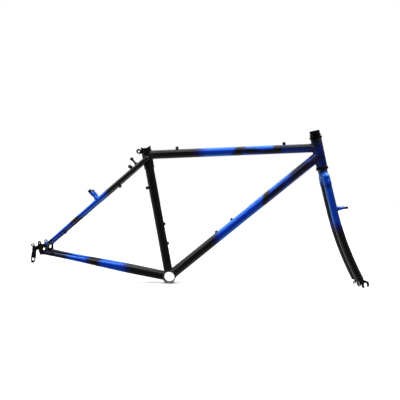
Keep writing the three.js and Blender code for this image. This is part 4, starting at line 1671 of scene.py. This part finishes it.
@dataclass
class RearTriangle:
    """Chain stays, seat stays, dropouts, bridges and what is brazed to them."""

    bench: Bench
    lines: FrontLines
    axle: Pair = (-417.9, 76.8)
    plate_y: float = 68.0
    plate_thick: float = 6.0
    slot_half: float = 5.5
    seat_ring_radius: float = 11.0

    def chainstay(self, side: Side) -> Tube:
        """A chain stay, round at the axle and tall at the shell.

        Args:
            side: Its side.

        Returns:
            The tube.
        """
        def size(share: float) -> Pair:
            """The half sizes at a share of the length."""
            t = min(1.0, max(0.0, (share - 0.05) / 0.7))
            swell = t * t * (3 - 2 * t)
            return 6.4 + 1.8 * swell, 6.5 + 6.7 * swell

        path = np.linspace(
            in_plane((-392, 72.6), 67.0 * side.value), in_plane((0, 0.6), 23.5 * side.value), 80,
        )
        return Tube(path, size, 1.0)

    def seatstay(self, side: Side) -> Tube:
        """A seat stay, which widens from the dropout and bows out round the wheel.

        Args:
            side: Its side.

        Returns:
            The tube.
        """
        def size(share: float) -> Pair:
            """The half sizes at a share of the length."""
            radius = 4.9 + 3.1 * min(1.0, share / 0.62)
            return radius, radius

        points = [in_plane((-390.5, 100.5), 67.0 * side.value), in_plane((-228, 248.4), 42.0 * side.value)]
        return Tube(smooth_path([*points, in_plane((-79, 383.2), 20.0 * side.value)]), size, 0.9)

    def off_stay(self, stay: Tube, share: float, reach: float) -> tuple[np.ndarray, np.ndarray, np.ndarray]:
        """A point above a seat stay, with its outward direction and the stay's run there.

        Args:
            stay: The stay.
            share: How far up it, as a share of its length.
            reach: How far above its middle line.

        Returns:
            The point, the outward direction and the stay's run.
        """
        run = stay.heading(share * stay.length)
        out = unit(np.array([-run[2], 0.0, run[0]]))
        return stay.at(share * stay.length) + out * reach, out, run

    def enamel(self) -> Enamel:
        """Blue over the rear of the stays, with black misted over both of their ends and in patches.

        Returns:
            The enamel.
        """
        chain, seat = self.chainstay(Side.RIGHT), self.seatstay(Side.RIGHT)
        return Enamel("blue_and_black_fade_enamel_rear", (
            smoke_on(seat, 385, 138, -6, 60, 3, soft=0.16),
            smoke_on(seat, 118, 15, 0, 14, 30, soft=0.65),
            smoke_on(seat, 70, 75, -6.5, 4.5, 0, soft=0.4, depth=0.9),
            smoke_on(chain, 400, 150, -3, 60, -8, soft=0.17),
            smoke_on(chain, 151, 25, 3, 15, -28, soft=0.65),
            smoke_on(chain, 14, 57, 0, 10, 0, soft=0.3, depth=0.95),
        ))

    def build(self) -> None:
        """Builds and dresses the rear triangle."""
        bench, fade, shell = self.bench, self.enamel(), self.lines.shell
        seams = []
        for side in Side:
            chain, seat = self.chainstay(side), self.seatstay(side)
            made = bench.raw(f"chainstay_{side.hand}_steel", chain.closed(end=[shell], domes=(0.9, 0)))
            bench.dressed(made, (fade,), Body.FRAME, [f"chainstay_{side.hand}"], "blue_fade_clear_coat")
            made = bench.raw(f"seatstay_{side.hand}_steel", seat.closed(rows=70, domes=(1.1, 0.8)))
            bench.dressed(made, (fade,), Body.FRAME, [f"seatstay_{side.hand}"], "blue_fade_clear_coat")
            seams.append(chain.seam([shell], False))
            self.dropout(side)
            self.brake_stud(side, seat, fade)
            self.rack_eyelet(side, seat)
        made = WeldBeads(1.7, 1.8).lay(bench, "chainstay_welds", seams, BLACK_ENAMEL)
        bench.dressed(made, (BLACK_ENAMEL,), Body.FRAME, crease=60)
        self.bridges()

    def dropout(self, side: Side) -> None:
        """A forged rear dropout: open slot, two eyes, a window, and on the right the gear hanger.

        Args:
            side: Its side.
        """
        ax, az = self.axle
        place = lambda dx, dz: (ax + dx, az + dz)
        outline = Outline((ax - 34, az - 42), (ax + 60, az + 48), fillet=3.0)
        corners = [
            (-18.5, -10), (-18.5, 10), (-15, 18), (-7, 17), (-2, 20), (3, 25), (14, 25), (29.5, 26),
            (29.5, -2), (27, -9.5), (8, -10),
        ]
        outline.field = outline.polygon_field([place(*c) for c in corners])
        outline.add(outline.strap_field(place(22, 18.5), place(44, 38.5), 3.8))
        outline.add(outline.strap_field(place(20, -1.2), place(50, -7), 4.8))
        eyes = [place(-16.5, 20.3), place(4.3, 28.4)]
        for eye in eyes:
            outline.add(outline.strap_field(eye, eye, 5.8))
        if side is Side.RIGHT:
            outline.add(outline.strap_field(place(-12.6, -8), place(-15, -24.5), 7.5))
            outline.add(
                outline.polygon_field([place(*c) for c in ((-21.5, -36), (-12, -36), (-9, -28), (-20, -28))])
            )
            outline.take(outline.strap_field(place(-15, -24.5), place(-15, -24.5), 4.2))
        outline.take(outline.strap_field(place(0, 0), place(0, -30), self.slot_half))
        outline.take(outline.strap_field(place(19.2, 8.0), place(20.2, 13.4), 3.0))
        for eye in eyes:
            outline.take(outline.strap_field(eye, eye, 2.1))
        name = f"rear_dropout_{side.hand}"
        made = self.bench.plate(name + "_steel", outline, self.plate_y * side.value, self.plate_thick, 0.9)
        self.bench.dressed(made, (BLACK_ENAMEL,), Body.FRAME, [name], crease=50)
        self.axle_seat(side)

    def axle_seat(self, side: Side) -> None:
        """The raised ring that the hub's nut bears on, open where the slot is.

        Args:
            side: Its side.
        """
        ax, az = self.axle
        outline = Outline((ax - 14, az - 14), (ax + 14, az + 14), fillet=0.6)
        outline.add(outline.strap_field((ax, az), (ax, az), self.seat_ring_radius))
        outline.take(outline.strap_field((ax, az), (ax, az - 30), self.slot_half + 0.1))
        middle = (self.plate_y + self.plate_thick / 2 + 0.1) * side.value
        made = self.bench.plate(f"rear_axle_seat_{side.hand}_steel", outline, middle, 0.7, 0.2)
        self.bench.dressed(made, (BLACK_ENAMEL,), Body.FRAME, crease=50)

    def brake_stud(self, side: Side, stay: Tube, fade: Enamel) -> None:
        """A cantilever post, blue on its collar, with a bare tapped end.

        Args:
            side: Its side.
            stay: The seat stay that it stands on.
            fade: The enamel on it.
        """
        place, out, _ = self.off_stay(stay, 0.506, 0)
        profile = [
            (0, 4), (7.2, 4), (6.6, 9.4), (4.9, 13), (4.9, 22), (6.2, 24), (6.2, 35), (5.9, 36), (5.9, 43),
            (2.5, 43), (2.5, 31), (0, 31),
        ]
        shape = Shape().turned(rounded(profile, 0.9), place, out, 48, lambda r, h: int(h > 35.4 or r < 2.7))
        name = f"rear_brake_stud_{side.hand}"
        self.bench.dressed(
            self.bench.raw(name + "_steel", shape), (fade, BLACK_OXIDE), Body.FRAME, [name],
            "blue_fade_clear_coat",
        )

    def rack_eyelet(self, side: Side, stay: Tube) -> None:
        """A small drilled ear above a seat stay, near the bridge.

        Args:
            side: Its side.
            stay: The seat stay that it stands on.
        """
        eye, _, _ = self.off_stay(stay, 0.857, 15.6)
        foot, _, _ = self.off_stay(stay, 0.857, 5.0)
        x, z = float(eye[0]), float(eye[2])
        outline = Outline((x - 14, z - 16), (x + 18, z + 12), 0.3, 2.0)
        outline.add(outline.strap_field((float(foot[0]), float(foot[2])), (x, z), 3.4))
        outline.add(outline.strap_field((x, z), (x, z), 5.4))
        outline.take(outline.strap_field((x, z), (x, z), 2.2))
        made = self.bench.plate(f"rack_eyelet_{side.hand}_steel", outline, float(eye[1]), 7.0, 1.0)
        self.bench.dressed(made, (BLACK_ENAMEL,), Body.FRAME, [f"rack_eyelet_{side.hand}"], crease=50)

    def bridges(self) -> None:
        """The two cross tubes and the brake cable hanger on the upper one."""
        chain, seat = self.chainstay(Side.LEFT), self.seatstay(Side.LEFT)
        seams = []
        for name, stay, run, radius in (
            ("chainstay_bridge", chain, chain.length * (1 - 62 / 392), 6.5),
            ("seatstay_bridge", seat, seat.length * 0.905, 6.0),
        ):
            place = stay.at(run)
            tube = Tube.straight(place * (1, -1, 1), place, radius, 1.0)
            mates = [stay.barrel(run)]
            flat = np.array([1.0, -1.0, 1.0])
            others = [Barrel(mates[0].place * flat, mates[0].axis * flat, mates[0].radius)]
            shape = tube.walled(others, mates, sides=48)
            self.bench.dressed(
                self.bench.raw(name + "_steel", shape), (BLACK_ENAMEL, MACHINED), Body.FRAME, [name],
            )
            seams += [tube.seam(others, True, 60), tube.seam(mates, False, 60)]
        made = WeldBeads(1.3, 1.6).lay(self.bench, "bridge_welds", seams, BLACK_ENAMEL)
        self.bench.dressed(made, (BLACK_ENAMEL,), Body.FRAME, crease=60)
        middle, out, _ = self.off_stay(seat, 0.905, 0)
        profile = [
            (0, 3), (5.8, 3), (5.4, 7), (5.2, 13), (3.3, 15), (3.3, 26.7), (5.2, 26.7), (5.2, 36.1),
            (2.6, 36.1), (2.6, 29.7), (0, 29.7),
        ]
        shape = Shape().turned(rounded(profile, 0.8), middle * (1, 0, 1), out, 40)
        self.bench.dressed(
            self.bench.raw("brake_cable_hanger_steel", shape), (BLACK_ENAMEL,), Body.FRAME,
            ["brake_cable_hanger"],
        )


@dataclass
class BrazeOns:
    """Bottle bosses with their screws, and the cable stops."""

    bench: Bench
    lines: FrontLines
    rear: RearTriangle

    def build(self) -> None:
        """Builds every small fitting that repeats."""
        self.bottle_fittings()
        self.cable_stops()

    def boss_places(self) -> list[tuple[np.ndarray, ...]]:
        """Place, outward direction and run of the four bottle bosses.

        Returns:
            A tuple of the three for each boss.
        """
        lean = self.lines.seat_lean
        down = self.lines.down_tube
        run = down.heading(0)
        out = np.array([-run[2], 0.0, run[0]])
        seat = [(self.lines.seat_at(h, -self.lines.seat_radius), ahead(lean), up(lean)) for h in (108, 172)]
        return seat + [
            (down.at(0) + run * h + out * self.lines.down_radius, out, run) for h in (209.5, 273.5)
        ]

    def template(self, name: str, shape: Shape) -> Any:
        """A fitting at the world's origin, in metres.

        Args:
            name: The fitting's name.
            shape: Its shape.

        Returns:
            The object.
        """
        made = self.bench.raw(name, shape)
        made.data.transform(Matrix.Translation(-self.bench.origin))
        return made

    def bottle_fittings(self) -> None:
        """The bosses and the hexagon socket screws in them."""
        places, zero, axis = self.boss_places(), np.zeros(3), np.array([0.0, 0.0, 1.0])
        nodes = [
            f"{tube}_bottle_{{}}_{end}" for tube in ("seattube", "downtube") for end in ("lower", "upper")
        ]
        boss = Shape().turned(
            rounded([(0, -1.5), (6.0, -1.5), (5.6, 0.6), (5.2, 2.0), (0, 2.0)], 0.5), zero, axis, 40,
        )
        made = set_out(self.bench, "bottle_bosses_brazed", self.template("boss", boss), places, BLACK_ENAMEL)
        self.bench.dressed(made, (BLACK_ENAMEL,), Body.FRAME, [n.format("boss") for n in nodes])
        head = Shape().turned(
            rounded([(0, 1.8), (4.6, 1.8), (4.6, 3.4), (3.9, 4.6), (2.4, 5.0), (0, 5.0)], 0.5), zero, axis,
            48,
        )
        screw = self.template("screw", head)
        socket = Shape().turned(
            [(0, 3.0), (1.75, 3.0), (1.75, 9.0), (0, 9.0)], self.bench.origin * 0, axis, 6,
        )
        socket.points[0] = socket.points[0] - self.bench.origin / MM
        self.bench.cut(screw, [socket])
        made = set_out(self.bench, "bottle_screws_socket_head", screw, places, BLACK_OXIDE)
        self.bench.dressed(
            made, (BLACK_OXIDE,), Body.FRAME, [n.format("screw") for n in nodes], "black_steel",
        )

    def cable_stops(self) -> None:
        """The slotted barrels that hold the cable housings."""
        lines, rear = self.lines, self.rear
        top = lines.top_tube
        run = top.heading(0)
        out = np.array([-run[2], 0.0, run[0]])
        on_top = lambda along: top.at(0) + run * along + out * lines.top_radius
        seat_back = -ahead(lines.seat_lean)
        places = [
            (on_top(98), out, -run), (on_top(446), out, run),
            (lines.seat_at(296.5, lines.seat_radius), seat_back, up(lines.seat_lean)),
        ]
        stay = rear.seatstay(Side.RIGHT)
        low_places = []
        for share in (0.703, 0.163):
            middle, outward, along = rear.off_stay(stay, share, 0)
            radius = float(np.interp(share * stay.length, stay.runs, stay.sizes[:, 1]))
            low_places.append((middle - outward * radius, -outward, along))
        nodes = ["toptube_cable_stop_rear", "toptube_cable_stop_front", "seattube_cable_stop"]
        made = set_out(self.bench, "main_cable_stops_brazed", self.stop(), places, BLACK_ENAMEL)
        self.bench.dressed(made, (BLACK_ENAMEL,), Body.FRAME, nodes, crease=40)
        fade = rear.enamel()
        nodes = ["seatstay_cable_stop_upper", "seatstay_cable_stop_lower"]
        made = set_out(self.bench, "stay_cable_stops_brazed", self.stop(), low_places, fade)
        self.bench.dressed(made, (fade,), Body.FRAME, nodes, "blue_fade_clear_coat", crease=40)

    def stop(self) -> Any:
        """One cable stop: a drilled and slotted barrel on a foot, at the world's origin.

        Returns:
            The object.
        """
        x, y, z = np.eye(3)
        middle = z * 4.8 - self.bench.origin / MM
        solid = Shape().turned([(0, -4.8), (4.3, -4.8), (4.3, 4.8), (0, 4.8)], middle, x, 40)
        solid.block(middle - z * 3.6, (x, y, z), (9.4, 6.6, 5.2))
        ferrule = Shape().turned([(0, -1.6), (2.7, -1.6), (2.7, 8), (0, 8)], middle, x, 32)
        wire = Shape().turned([(0, -9), (1.2, -9), (1.2, 9), (0, 9)], middle, x, 16)
        slot = Shape().block(middle + z * 3, (x, y, z), (20, 1.7, 6))
        return self.bench.fused("cable_stop_template", solid, 0.4, 2, [ferrule, wire, slot])


@dataclass
class Headset:
    """The threaded headset: cups in the head tube, races and nuts on the steerer, balls between them."""

    bench: Bench
    fork: ForkLine
    steerer_radius: float = 14.3
    steerer_wall: float = 1.6
    steerer_below: float = 30.0
    steerer_above: float = 126.5

    def ring(
        self, name: str, base: float, profile: Profile, finish: Steel, body: Body, edge: float = 0.5,
        slot: str = "black_steel", flats: tuple[int, float] | None = None,
    ) -> None:
        """One turned ring on the steering axis, which stands for the CAD node of its name.

        Args:
            name: The CAD node's name.
            base: The height above the crown race seat that its profile is measured from.
            profile: Its section as radius and height.
            finish: Its steel.
            body: The body that it rides on.
            edge: Radius of its edges.
            slot: Its material slot.
            flats: A number of wrench flats and their distance from the axis.
        """
        section = rounded([(radius, base + height) for radius, height in profile], edge)
        shape = Shape().turned(section, self.fork.at(0, 0, 0), up(self.fork.lean), 120, flats=flats)
        made = self.bench.raw(name + "_steel", shape)
        self.bench.dressed(made, (finish,), body, [name], slot, 30)

    def build(self) -> None:
        """Builds every ring of the headset and the steerer inside them."""
        low, top = self.fork.lower_stack, self.fork.lower_stack + self.fork.head_length
        bore = self.steerer_radius + 0.3
        self.ring("lower_head_cup", low, [
            (15.4, 12), (15.4, -1.2), (19.2, -1.2), (19.2, 0.9 - low), (20.3, 0.9 - low), (20.3, -3.2),
            (19.7, -2), (19.2, -0.1), (16.5, -0.1), (16.5, 12),
        ], BLACK_PLATED, Body.FRAME, 0.6)
        self.ring("upper_head_cup", top, [
            (15.4, -12), (16.5, -12), (16.5, 0.1), (18.8, 0.1), (19.3, 2.4), (21, 4.4), (21, 8), (19.2, 8),
            (19.2, 4.2), (15.4, 4.2),
        ], BLACK_PLATED, Body.FRAME, 0.6)
        section = [(bore, 0.2), (18.4, 0.2), (18.4, 1.4), (15.4, 4.2), (bore, 4.2)]
        self.ring("crown_race", 0, section, MACHINED, Body.FORK, 0.3, "bare_steel")
        self.ring("adjusting_race", top, [
            (bore, 8.6), (15.4, 8.6), (18.4, 9.4), (18.4, 11.4), (18.0, 11.8), (18.4, 12.2), (18.4, 15.4),
            (17.4, 16.4), (bore, 16.4),
        ], BLACK_PLATED, Body.FORK, 0.35, flats=(12, 18.05))
        section = [(bore, 16.6), (16.2, 16.6), (16.2, 18.1), (bore, 18.1)]
        self.ring("keyed_washer", top, section, BLACK_PLATED, Body.FORK, 0.3)
        self.ring("locknut", top, [
            (bore, 18.3), (16.3, 18.3), (17, 19.2), (17, 26.3), (15.9, 27.8), (13.4, 27.8), (12.9, 26.8),
            (13.3, 26.2), (bore, 26.2),
        ], BLACK_PLATED, Body.FORK, 0.4, flats=(6, 16.1))
        outer, inner = self.steerer_radius, self.steerer_radius - self.steerer_wall
        below, above = -self.steerer_below, self.steerer_above
        section = [(inner, below), (outer, below), (outer, above), (inner, above)]
        self.ring("steerer_tube", 0, section, MACHINED, Body.FORK, 0.4, "bare_steel")
        for name, height, body in (
            ("lower_ball_retainer", 6.3, Body.LOWER_BALLS),
            ("upper_ball_retainer", top + 6.4, Body.UPPER_BALLS),
        ):
            made = BallRing().build(self.bench, name + "_steel", height, self.fork, BALL_STEEL)
            self.bench.dressed(made, (BALL_STEEL,), body, [name], "bare_steel")


@dataclass
class Fork:
    """The rigid fork: a sloping crown, two raked blades, fork ends and brake studs."""

    bench: Bench
    fork: ForkLine
    crown_slope: float = 1.43
    blade_radius: float = 12.4
    blade_top: float = 22.0
    blade_end: float = 369.0
    straight: float = 130.0
    bend_radius: float = 942.0
    top_y: float = 45.0
    end_y: float = 53.0
    axle: Pair = (53.2, -386.7)
    arm_radius: float = 13.2
    socket_end: float = 54.0
    socket_rise: float = 45.0
    prong_radius: float = 11.74
    slot_half: float = 4.6

    def local(self, down: float, side: Side) -> np.ndarray:
        """A blade's middle line in the fork's own frame: straight, then an even forward bend.

        Args:
            down: How far below the crown race seat.
            side: Which blade.

        Returns:
            Forward, out and up from the seat.
        """
        bent = max(0.0, down - self.straight)
        forward = math.tan(math.radians(self.crown_slope)) * down + bent**2 / (2 * self.bend_radius)
        share = min(1.0, max(0.0, (down - self.blade_top) / (self.blade_end - self.blade_top)))
        return np.array([forward, (self.top_y + (self.end_y - self.top_y) * share) * side.value, -down])

    def blade(self, side: Side) -> Tube:
        """A blade.

        Args:
            side: Its side.

        Returns:
            The tube.
        """
        path = np.array(
            [self.fork.at(*self.local(d, side)) for d in np.linspace(self.blade_top, self.blade_end, 120)]
        )

        def size(share: float) -> Pair:
            """The half sizes at a share of the length."""
            return self.blade_radius, self.blade_radius

        return Tube(path, size, 1.1)

    def enamel(self) -> Enamel:
        """Blue over the crown and the upper blades, black below, with the left blade darker behind and a
        band of painted shade where the near blade enters its crown socket.

        Returns:
            The enamel.
        """
        right, left = self.blade(Side.RIGHT), self.blade(Side.LEFT)
        return Enamel("blue_and_black_fade_enamel_fork", (
            smoke_on(right, 330, 172, 0, 60, -5, soft=0.2),
            # A dark band round the crown socket's lip on the near blade: painted shade where the blade
            # enters the socket.
            smoke_on(right, 33, 8, 2, 13, 0, soft=0.6, depth=0.7, y=-45),
            smoke_on(right, 104, 96, 9, 10, 0, soft=0.6, depth=0.5, y=-47),
            smoke_on(left, 84, 75, 0, 22, 0, soft=0.3, depth=0.97, y=50),
            Smoke(tuple(float(v) for v in self.fork.at(0, 0, 0)[[0, 2]]), 12, 30, -77, 0.5, 0.6),
        ))

    def build(self) -> None:
        """Builds and dresses the fork."""
        bench, fade = self.bench, self.enamel()
        self.crown(fade)
        for side in Side:
            blade = self.blade(side)
            made = bench.raw(
                f"fork_blade_{side.hand}_steel", blade.closed(rows=80, sides=56, domes=(0.3, 0.45)),
            )
            bench.dressed(made, (fade,), Body.FORK, [f"fork_blade_{side.hand}"], "blue_fade_clear_coat")
            self.fork_end(side)
            self.brake_stud(side, blade, fade)

    def crown(self, fade: Enamel) -> None:
        """The crown: a cast arch that sweeps from the steerer into two scalloped sockets.

        Args:
            fade: The enamel on it.
        """
        at = self.fork.at
        arch = [
            at(*self.local(self.socket_end, Side.RIGHT)), at(*self.local(40, Side.RIGHT)), at(0.6, -38, -25),
            at(0.3, -22, -20),
            at(0, 0, -18), at(0.3, 22, -20), at(0.6, 38, -25), at(*self.local(40, Side.LEFT)),
            at(*self.local(self.socket_end, Side.LEFT)),
        ]
        axis = up(self.fork.lean)
        shape = Tube(smooth_path(arch), lambda share: (self.arm_radius, self.arm_radius), 2).closed(
            90, 56, (0.01, 0.01),
        )
        shape.turned(
            [(0, -34), (15.4, -34), (15.4, -3.4), (16.9, -1.6), (16.9, 0), (0, 0)], at(0, 0, 0), axis, 64,
        )
        bore = Shape().turned([(0, -80), (14.45, -80), (14.45, 20), (0, 20)], at(0, 0, 0), axis, 80)
        scallop = self.arm_radius + 3.2
        middle = self.local(self.socket_rise + scallop, Side.RIGHT)
        gouge = Shape().turned(
            [(0, -80), (scallop, -80), (scallop, 80), (0, 80)], at(middle[0], 0, middle[2]), ACROSS, 96,
        )
        made = self.bench.fused("fork_crown_steel", shape, 0.8, 5, [bore, gouge])
        self.bench.dressed(made, (fade,), Body.FORK, ["fork_crown"], "blue_fade_clear_coat", crease=40)

    def fork_end(self, side: Side) -> None:
        """A fork end: a hook with an open slot, an eye, and a tongue let into the blade.

        Args:
            side: Its side.
        """
        lean = math.radians(self.fork.lean)

        def place(forward: float, height: float) -> Pair:
            """A point of the fork's own frame as x and z."""
            point = self.fork.at(forward, 0, height)
            return float(point[0]), float(point[2])

        ax, az = self.axle
        centre = place(ax, az)
        seat_height = float(self.fork.at(0, 0, 0)[2])
        left, right = ax - self.prong_radius, ax + self.prong_radius
        drop = (seat_height + az * math.cos(lean) + (left + 1.4) * math.sin(lean) + 20.0) / math.cos(lean)
        corners = [
            (left + 1.4, az - drop), (left, az - drop + 2), (left, az + 1), (31, -371), (46, -368),
            (right - 1, az + 6), (right, az), (right, az - drop + 4), (right - 3, az - drop + 0.6),
        ]
        outline = Outline((centre[0] - 50, centre[1] - 24), (centre[0] + 30, centre[1] + 46), fillet=2.0)
        outline.field = outline.polygon_field([place(*c) for c in corners])
        outline.add(outline.strap_field(place(44.2, -374), place(36.4, -351), 7.5))
        outline.add(outline.strap_field(centre, centre, self.prong_radius))
        eye = place(33.8, -384.8)
        outline.add(outline.strap_field(eye, eye, 4.9))
        outline.add(outline.strap_field(eye, place(44, -378), 3.0))
        outline.take(outline.strap_field(centre, place(ax, az - 30), self.slot_half))
        outline.take(outline.strap_field(eye, eye, 2.0))
        name = f"fork_dropout_{side.hand}"
        made = self.bench.plate(name + "_steel", outline, self.end_y * side.value, 6.0, 0.9)
        self.bench.dressed(made, (BLACK_ENAMEL,), Body.FORK, [name], crease=50)

    def brake_stud(self, side: Side, blade: Tube, fade: Enamel) -> None:
        """A cantilever post on the front of a blade: a tapered blue collar and a bare pivot.

        Args:
            side: Its side.
            blade: The blade that it stands on.
            fade: The enamel on it.
        """
        run = blade.length * (130 - self.blade_top) / (self.blade_end - self.blade_top)
        heading = blade.heading(run)
        out = unit(np.array([-heading[2], 0.0, heading[0]]))
        droop = math.radians(7.2)
        out = np.array([
            out[0] * math.cos(droop) + out[2] * math.sin(droop), 0.0,
            -out[0] * math.sin(droop) + out[2] * math.cos(droop),
        ])
        profile = [
            (0, 8), (8.6, 8), (7.4, 15), (5.2, 26), (4, 31), (4, 32), (3.8, 33), (3.8, 46.8), (2.5, 46.8),
            (2.5, 35), (0, 35),
        ]
        shape = Shape().turned(rounded(profile, 1.0), blade.at(run), out, 48, lambda r, h: int(h > 32.4))
        name = f"front_brake_stud_{side.hand}"
        made = self.bench.raw(name + "_steel", shape)
        self.bench.dressed(made, (fade, BLACK_OXIDE), Body.FORK, [name], "blue_fade_clear_coat")


@dataclass
class Studio:
    """A plain pale floor under soft light, and the camera."""

    bench: Bench
    camera_distance: float = 3.333
    camera_forward: float = 94.65
    camera_height: float = 250.87
    camera_roll: float = -1.13
    lens: float = 92.3
    floor_colour: str = "#f8f8f6"
    softboxes: tuple[Pair, ...] = (
        (0.13, 0.02), (0.19, 0.5), (0.3, 0.5), (0.35, 0.12), (0.52, 0.12), (0.57, 0.5), (0.64, 0.5),
        (0.68, 1.0), (0.74, 1.0), (0.78, 0.1),
    )
    box_power: float = 3.2
    dim: float = 0.06
    floor_glow: float = 0.5

    def build(self) -> None:
        """Builds the floor, the lights and the camera."""
        self.camera()
        self.floor()
        self.lights()

    def camera(self) -> None:
        """A long lens square on to the right side."""
        data = bpy.data.cameras.new("camera")
        data.lens, data.sensor_width = self.lens, 36.0
        made = linked("camera", data)
        made.location = self.bench.metres(np.array([self.camera_forward, 0.0, self.camera_height]))
        made.location.y = -self.camera_distance
        made.rotation_euler = (math.pi / 2, math.radians(self.camera_roll), 0.0)
        bpy.context.scene.camera = made

    def floor(self) -> None:
        """A wide matt sheet of studio paper."""
        made = bpy.data.materials.new("matt_studio_paper")
        made.use_nodes = True
        tree = made.node_tree
        where = add_node(tree, "ShaderNodeTexCoord").outputs["Object"]
        fibre = add_node(tree, "ShaderNodeTexNoise", inputs={"Vector": where, "Scale": 700.0, "Detail": 3.0})
        bump = add_node(
            tree, "ShaderNodeBump",
            inputs={"Strength": 0.05, "Distance": 0.0002, "Height": fibre.outputs["Fac"]},
        )
        shader = tree.nodes["Principled BSDF"]
        tree.links.new(bump.outputs[0], shader.inputs["Normal"])
        shader.inputs["Base Color"].default_value = srgb(self.floor_colour)
        shader.inputs["Roughness"].default_value = 0.9
        shader.inputs["Specular IOR Level"].default_value = 0.0
        mesh = bpy.data.meshes.new("floor")
        half = 60.0
        mesh.from_pydata(
            [(-half, -half, 0), (half, -half, 0), (half, half, 0), (-half, half, 0)], [], [(0, 1, 2, 3)],
        )
        mesh.materials.append(made)
        sheet = linked("floor", mesh)
        sheet.visible_glossy = sheet.visible_diffuse = False

    def lights(self) -> None:
        """Three broad suns, and a surround of long softboxes that the gloss reflects."""
        self.sun("key", 1.85, 40, (28, -10))
        self.sun("back", 0.5, 30, (-40, 12))
        self.sun("fill", 0.75, 60, (72, 0))
        world = bpy.data.worlds.new("surround")
        bpy.context.scene.world = world
        world.use_nodes = True
        tree = world.node_tree
        tree.nodes.clear()
        way = add_node(
            tree, "ShaderNodeSeparateXYZ",
            inputs={0: add_node(tree, "ShaderNodeTexCoord").outputs["Generated"]},
        )
        # From the camera's side to behind the frame: dark, a long softbox, a gap and two more strips.
        share = add_node(tree, "ShaderNodeMapRange", inputs={"Value": way.outputs["Y"], "From Min": -1.0})
        boxes = add_node(tree, "ShaderNodeValToRGB", inputs={"Fac": share.outputs[0]})
        ramp = boxes.color_ramp
        ramp.elements[0].color, ramp.elements[1].color = self.grey(0.03), self.grey(0.3)
        for place, level in self.softboxes:
            ramp.elements.new(place).color = self.grey(level)
        high = add_node(
            tree, "ShaderNodeMapRange", SMOOTH,
            {"Value": way.outputs["Z"], "From Min": 0.25, "From Max": 0.6},
        )
        low = add_node(
            tree, "ShaderNodeMapRange", SMOOTH,
            {"Value": way.outputs["Z"], "From Min": 0.05, "From Max": -0.25},
        )
        paper = add_node(
            tree, "ShaderNodeMapRange", SMOOTH,
            {
                "Value": way.outputs["Y"], "From Min": -1.1, "From Max": 0.7, "To Min": 0.02,
                "To Max": self.floor_glow,
            },
        )
        below = add_node(
            tree, "ShaderNodeMath", {"operation": "MULTIPLY_ADD"},
            {0: low.outputs[0], 1: paper.outputs[0], 2: self.dim},
        )
        power = add_node(tree, "ShaderNodeMath", TIMES, {0: boxes.outputs["Color"], 1: high.outputs[0]})
        level = add_node(
            tree, "ShaderNodeMath", {"operation": "MULTIPLY_ADD"},
            {0: power.outputs[0], 1: self.box_power, 2: below.outputs[0]},
        )
        soft = add_node(
            tree, "ShaderNodeBackground", inputs={"Color": (1, 1, 1, 1), "Strength": level.outputs[0]},
        )
        seen = add_node(tree, "ShaderNodeLightPath").outputs["Is Camera Ray"]
        pale = add_node(tree, "ShaderNodeBackground", inputs={"Color": srgb("#ffffff"), "Strength": 1.0})
        both = add_node(
            tree, "ShaderNodeMixShader", inputs={0: seen, 1: soft.outputs[0], 2: pale.outputs[0]},
        )
        out = add_node(tree, "ShaderNodeOutputWorld")
        tree.links.new(both.outputs[0], out.inputs["Surface"])
        bpy.context.scene.view_settings.view_transform = "Standard"

    @staticmethod
    def grey(level: float) -> tuple[float, float, float, float]:
        """A grey as linear RGBA."""
        return level, level, level, 1.0

    def sun(self, name: str, energy: float, angle: float, turn: Pair) -> None:
        """A broad, distant light that gloss doesn't reflect.

        Args:
            name: Its name.
            energy: Its strength in watts per square metre.
            angle: How wide it is in degrees.
            turn: Its turn in degrees about X and Y from straight down.
        """
        light = bpy.data.lights.new(name, "SUN")
        light.energy, light.angle = energy, math.radians(angle)
        made = linked(name, light)
        made.rotation_euler = (math.radians(turn[0]), math.radians(turn[1]), 0.0)
        made.visible_glossy = False


def main() -> None:
    """Builds every sub-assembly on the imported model, in order."""
    logging.basicConfig(level=logging.INFO, format="%(name)s: %(message)s")
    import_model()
    bench = Bench()
    Studio(bench).build()
    fork_line = ForkLine()
    front = FrontTriangle(bench, fork_line)
    front.build()
    rear = RearTriangle(bench, front.lines)
    rear.build()
    BrazeOns(bench, front.lines, rear).build()
    Headset(bench, fork_line).build()
    Fork(bench, fork_line).build()


if __name__ == "__main__":
    main()
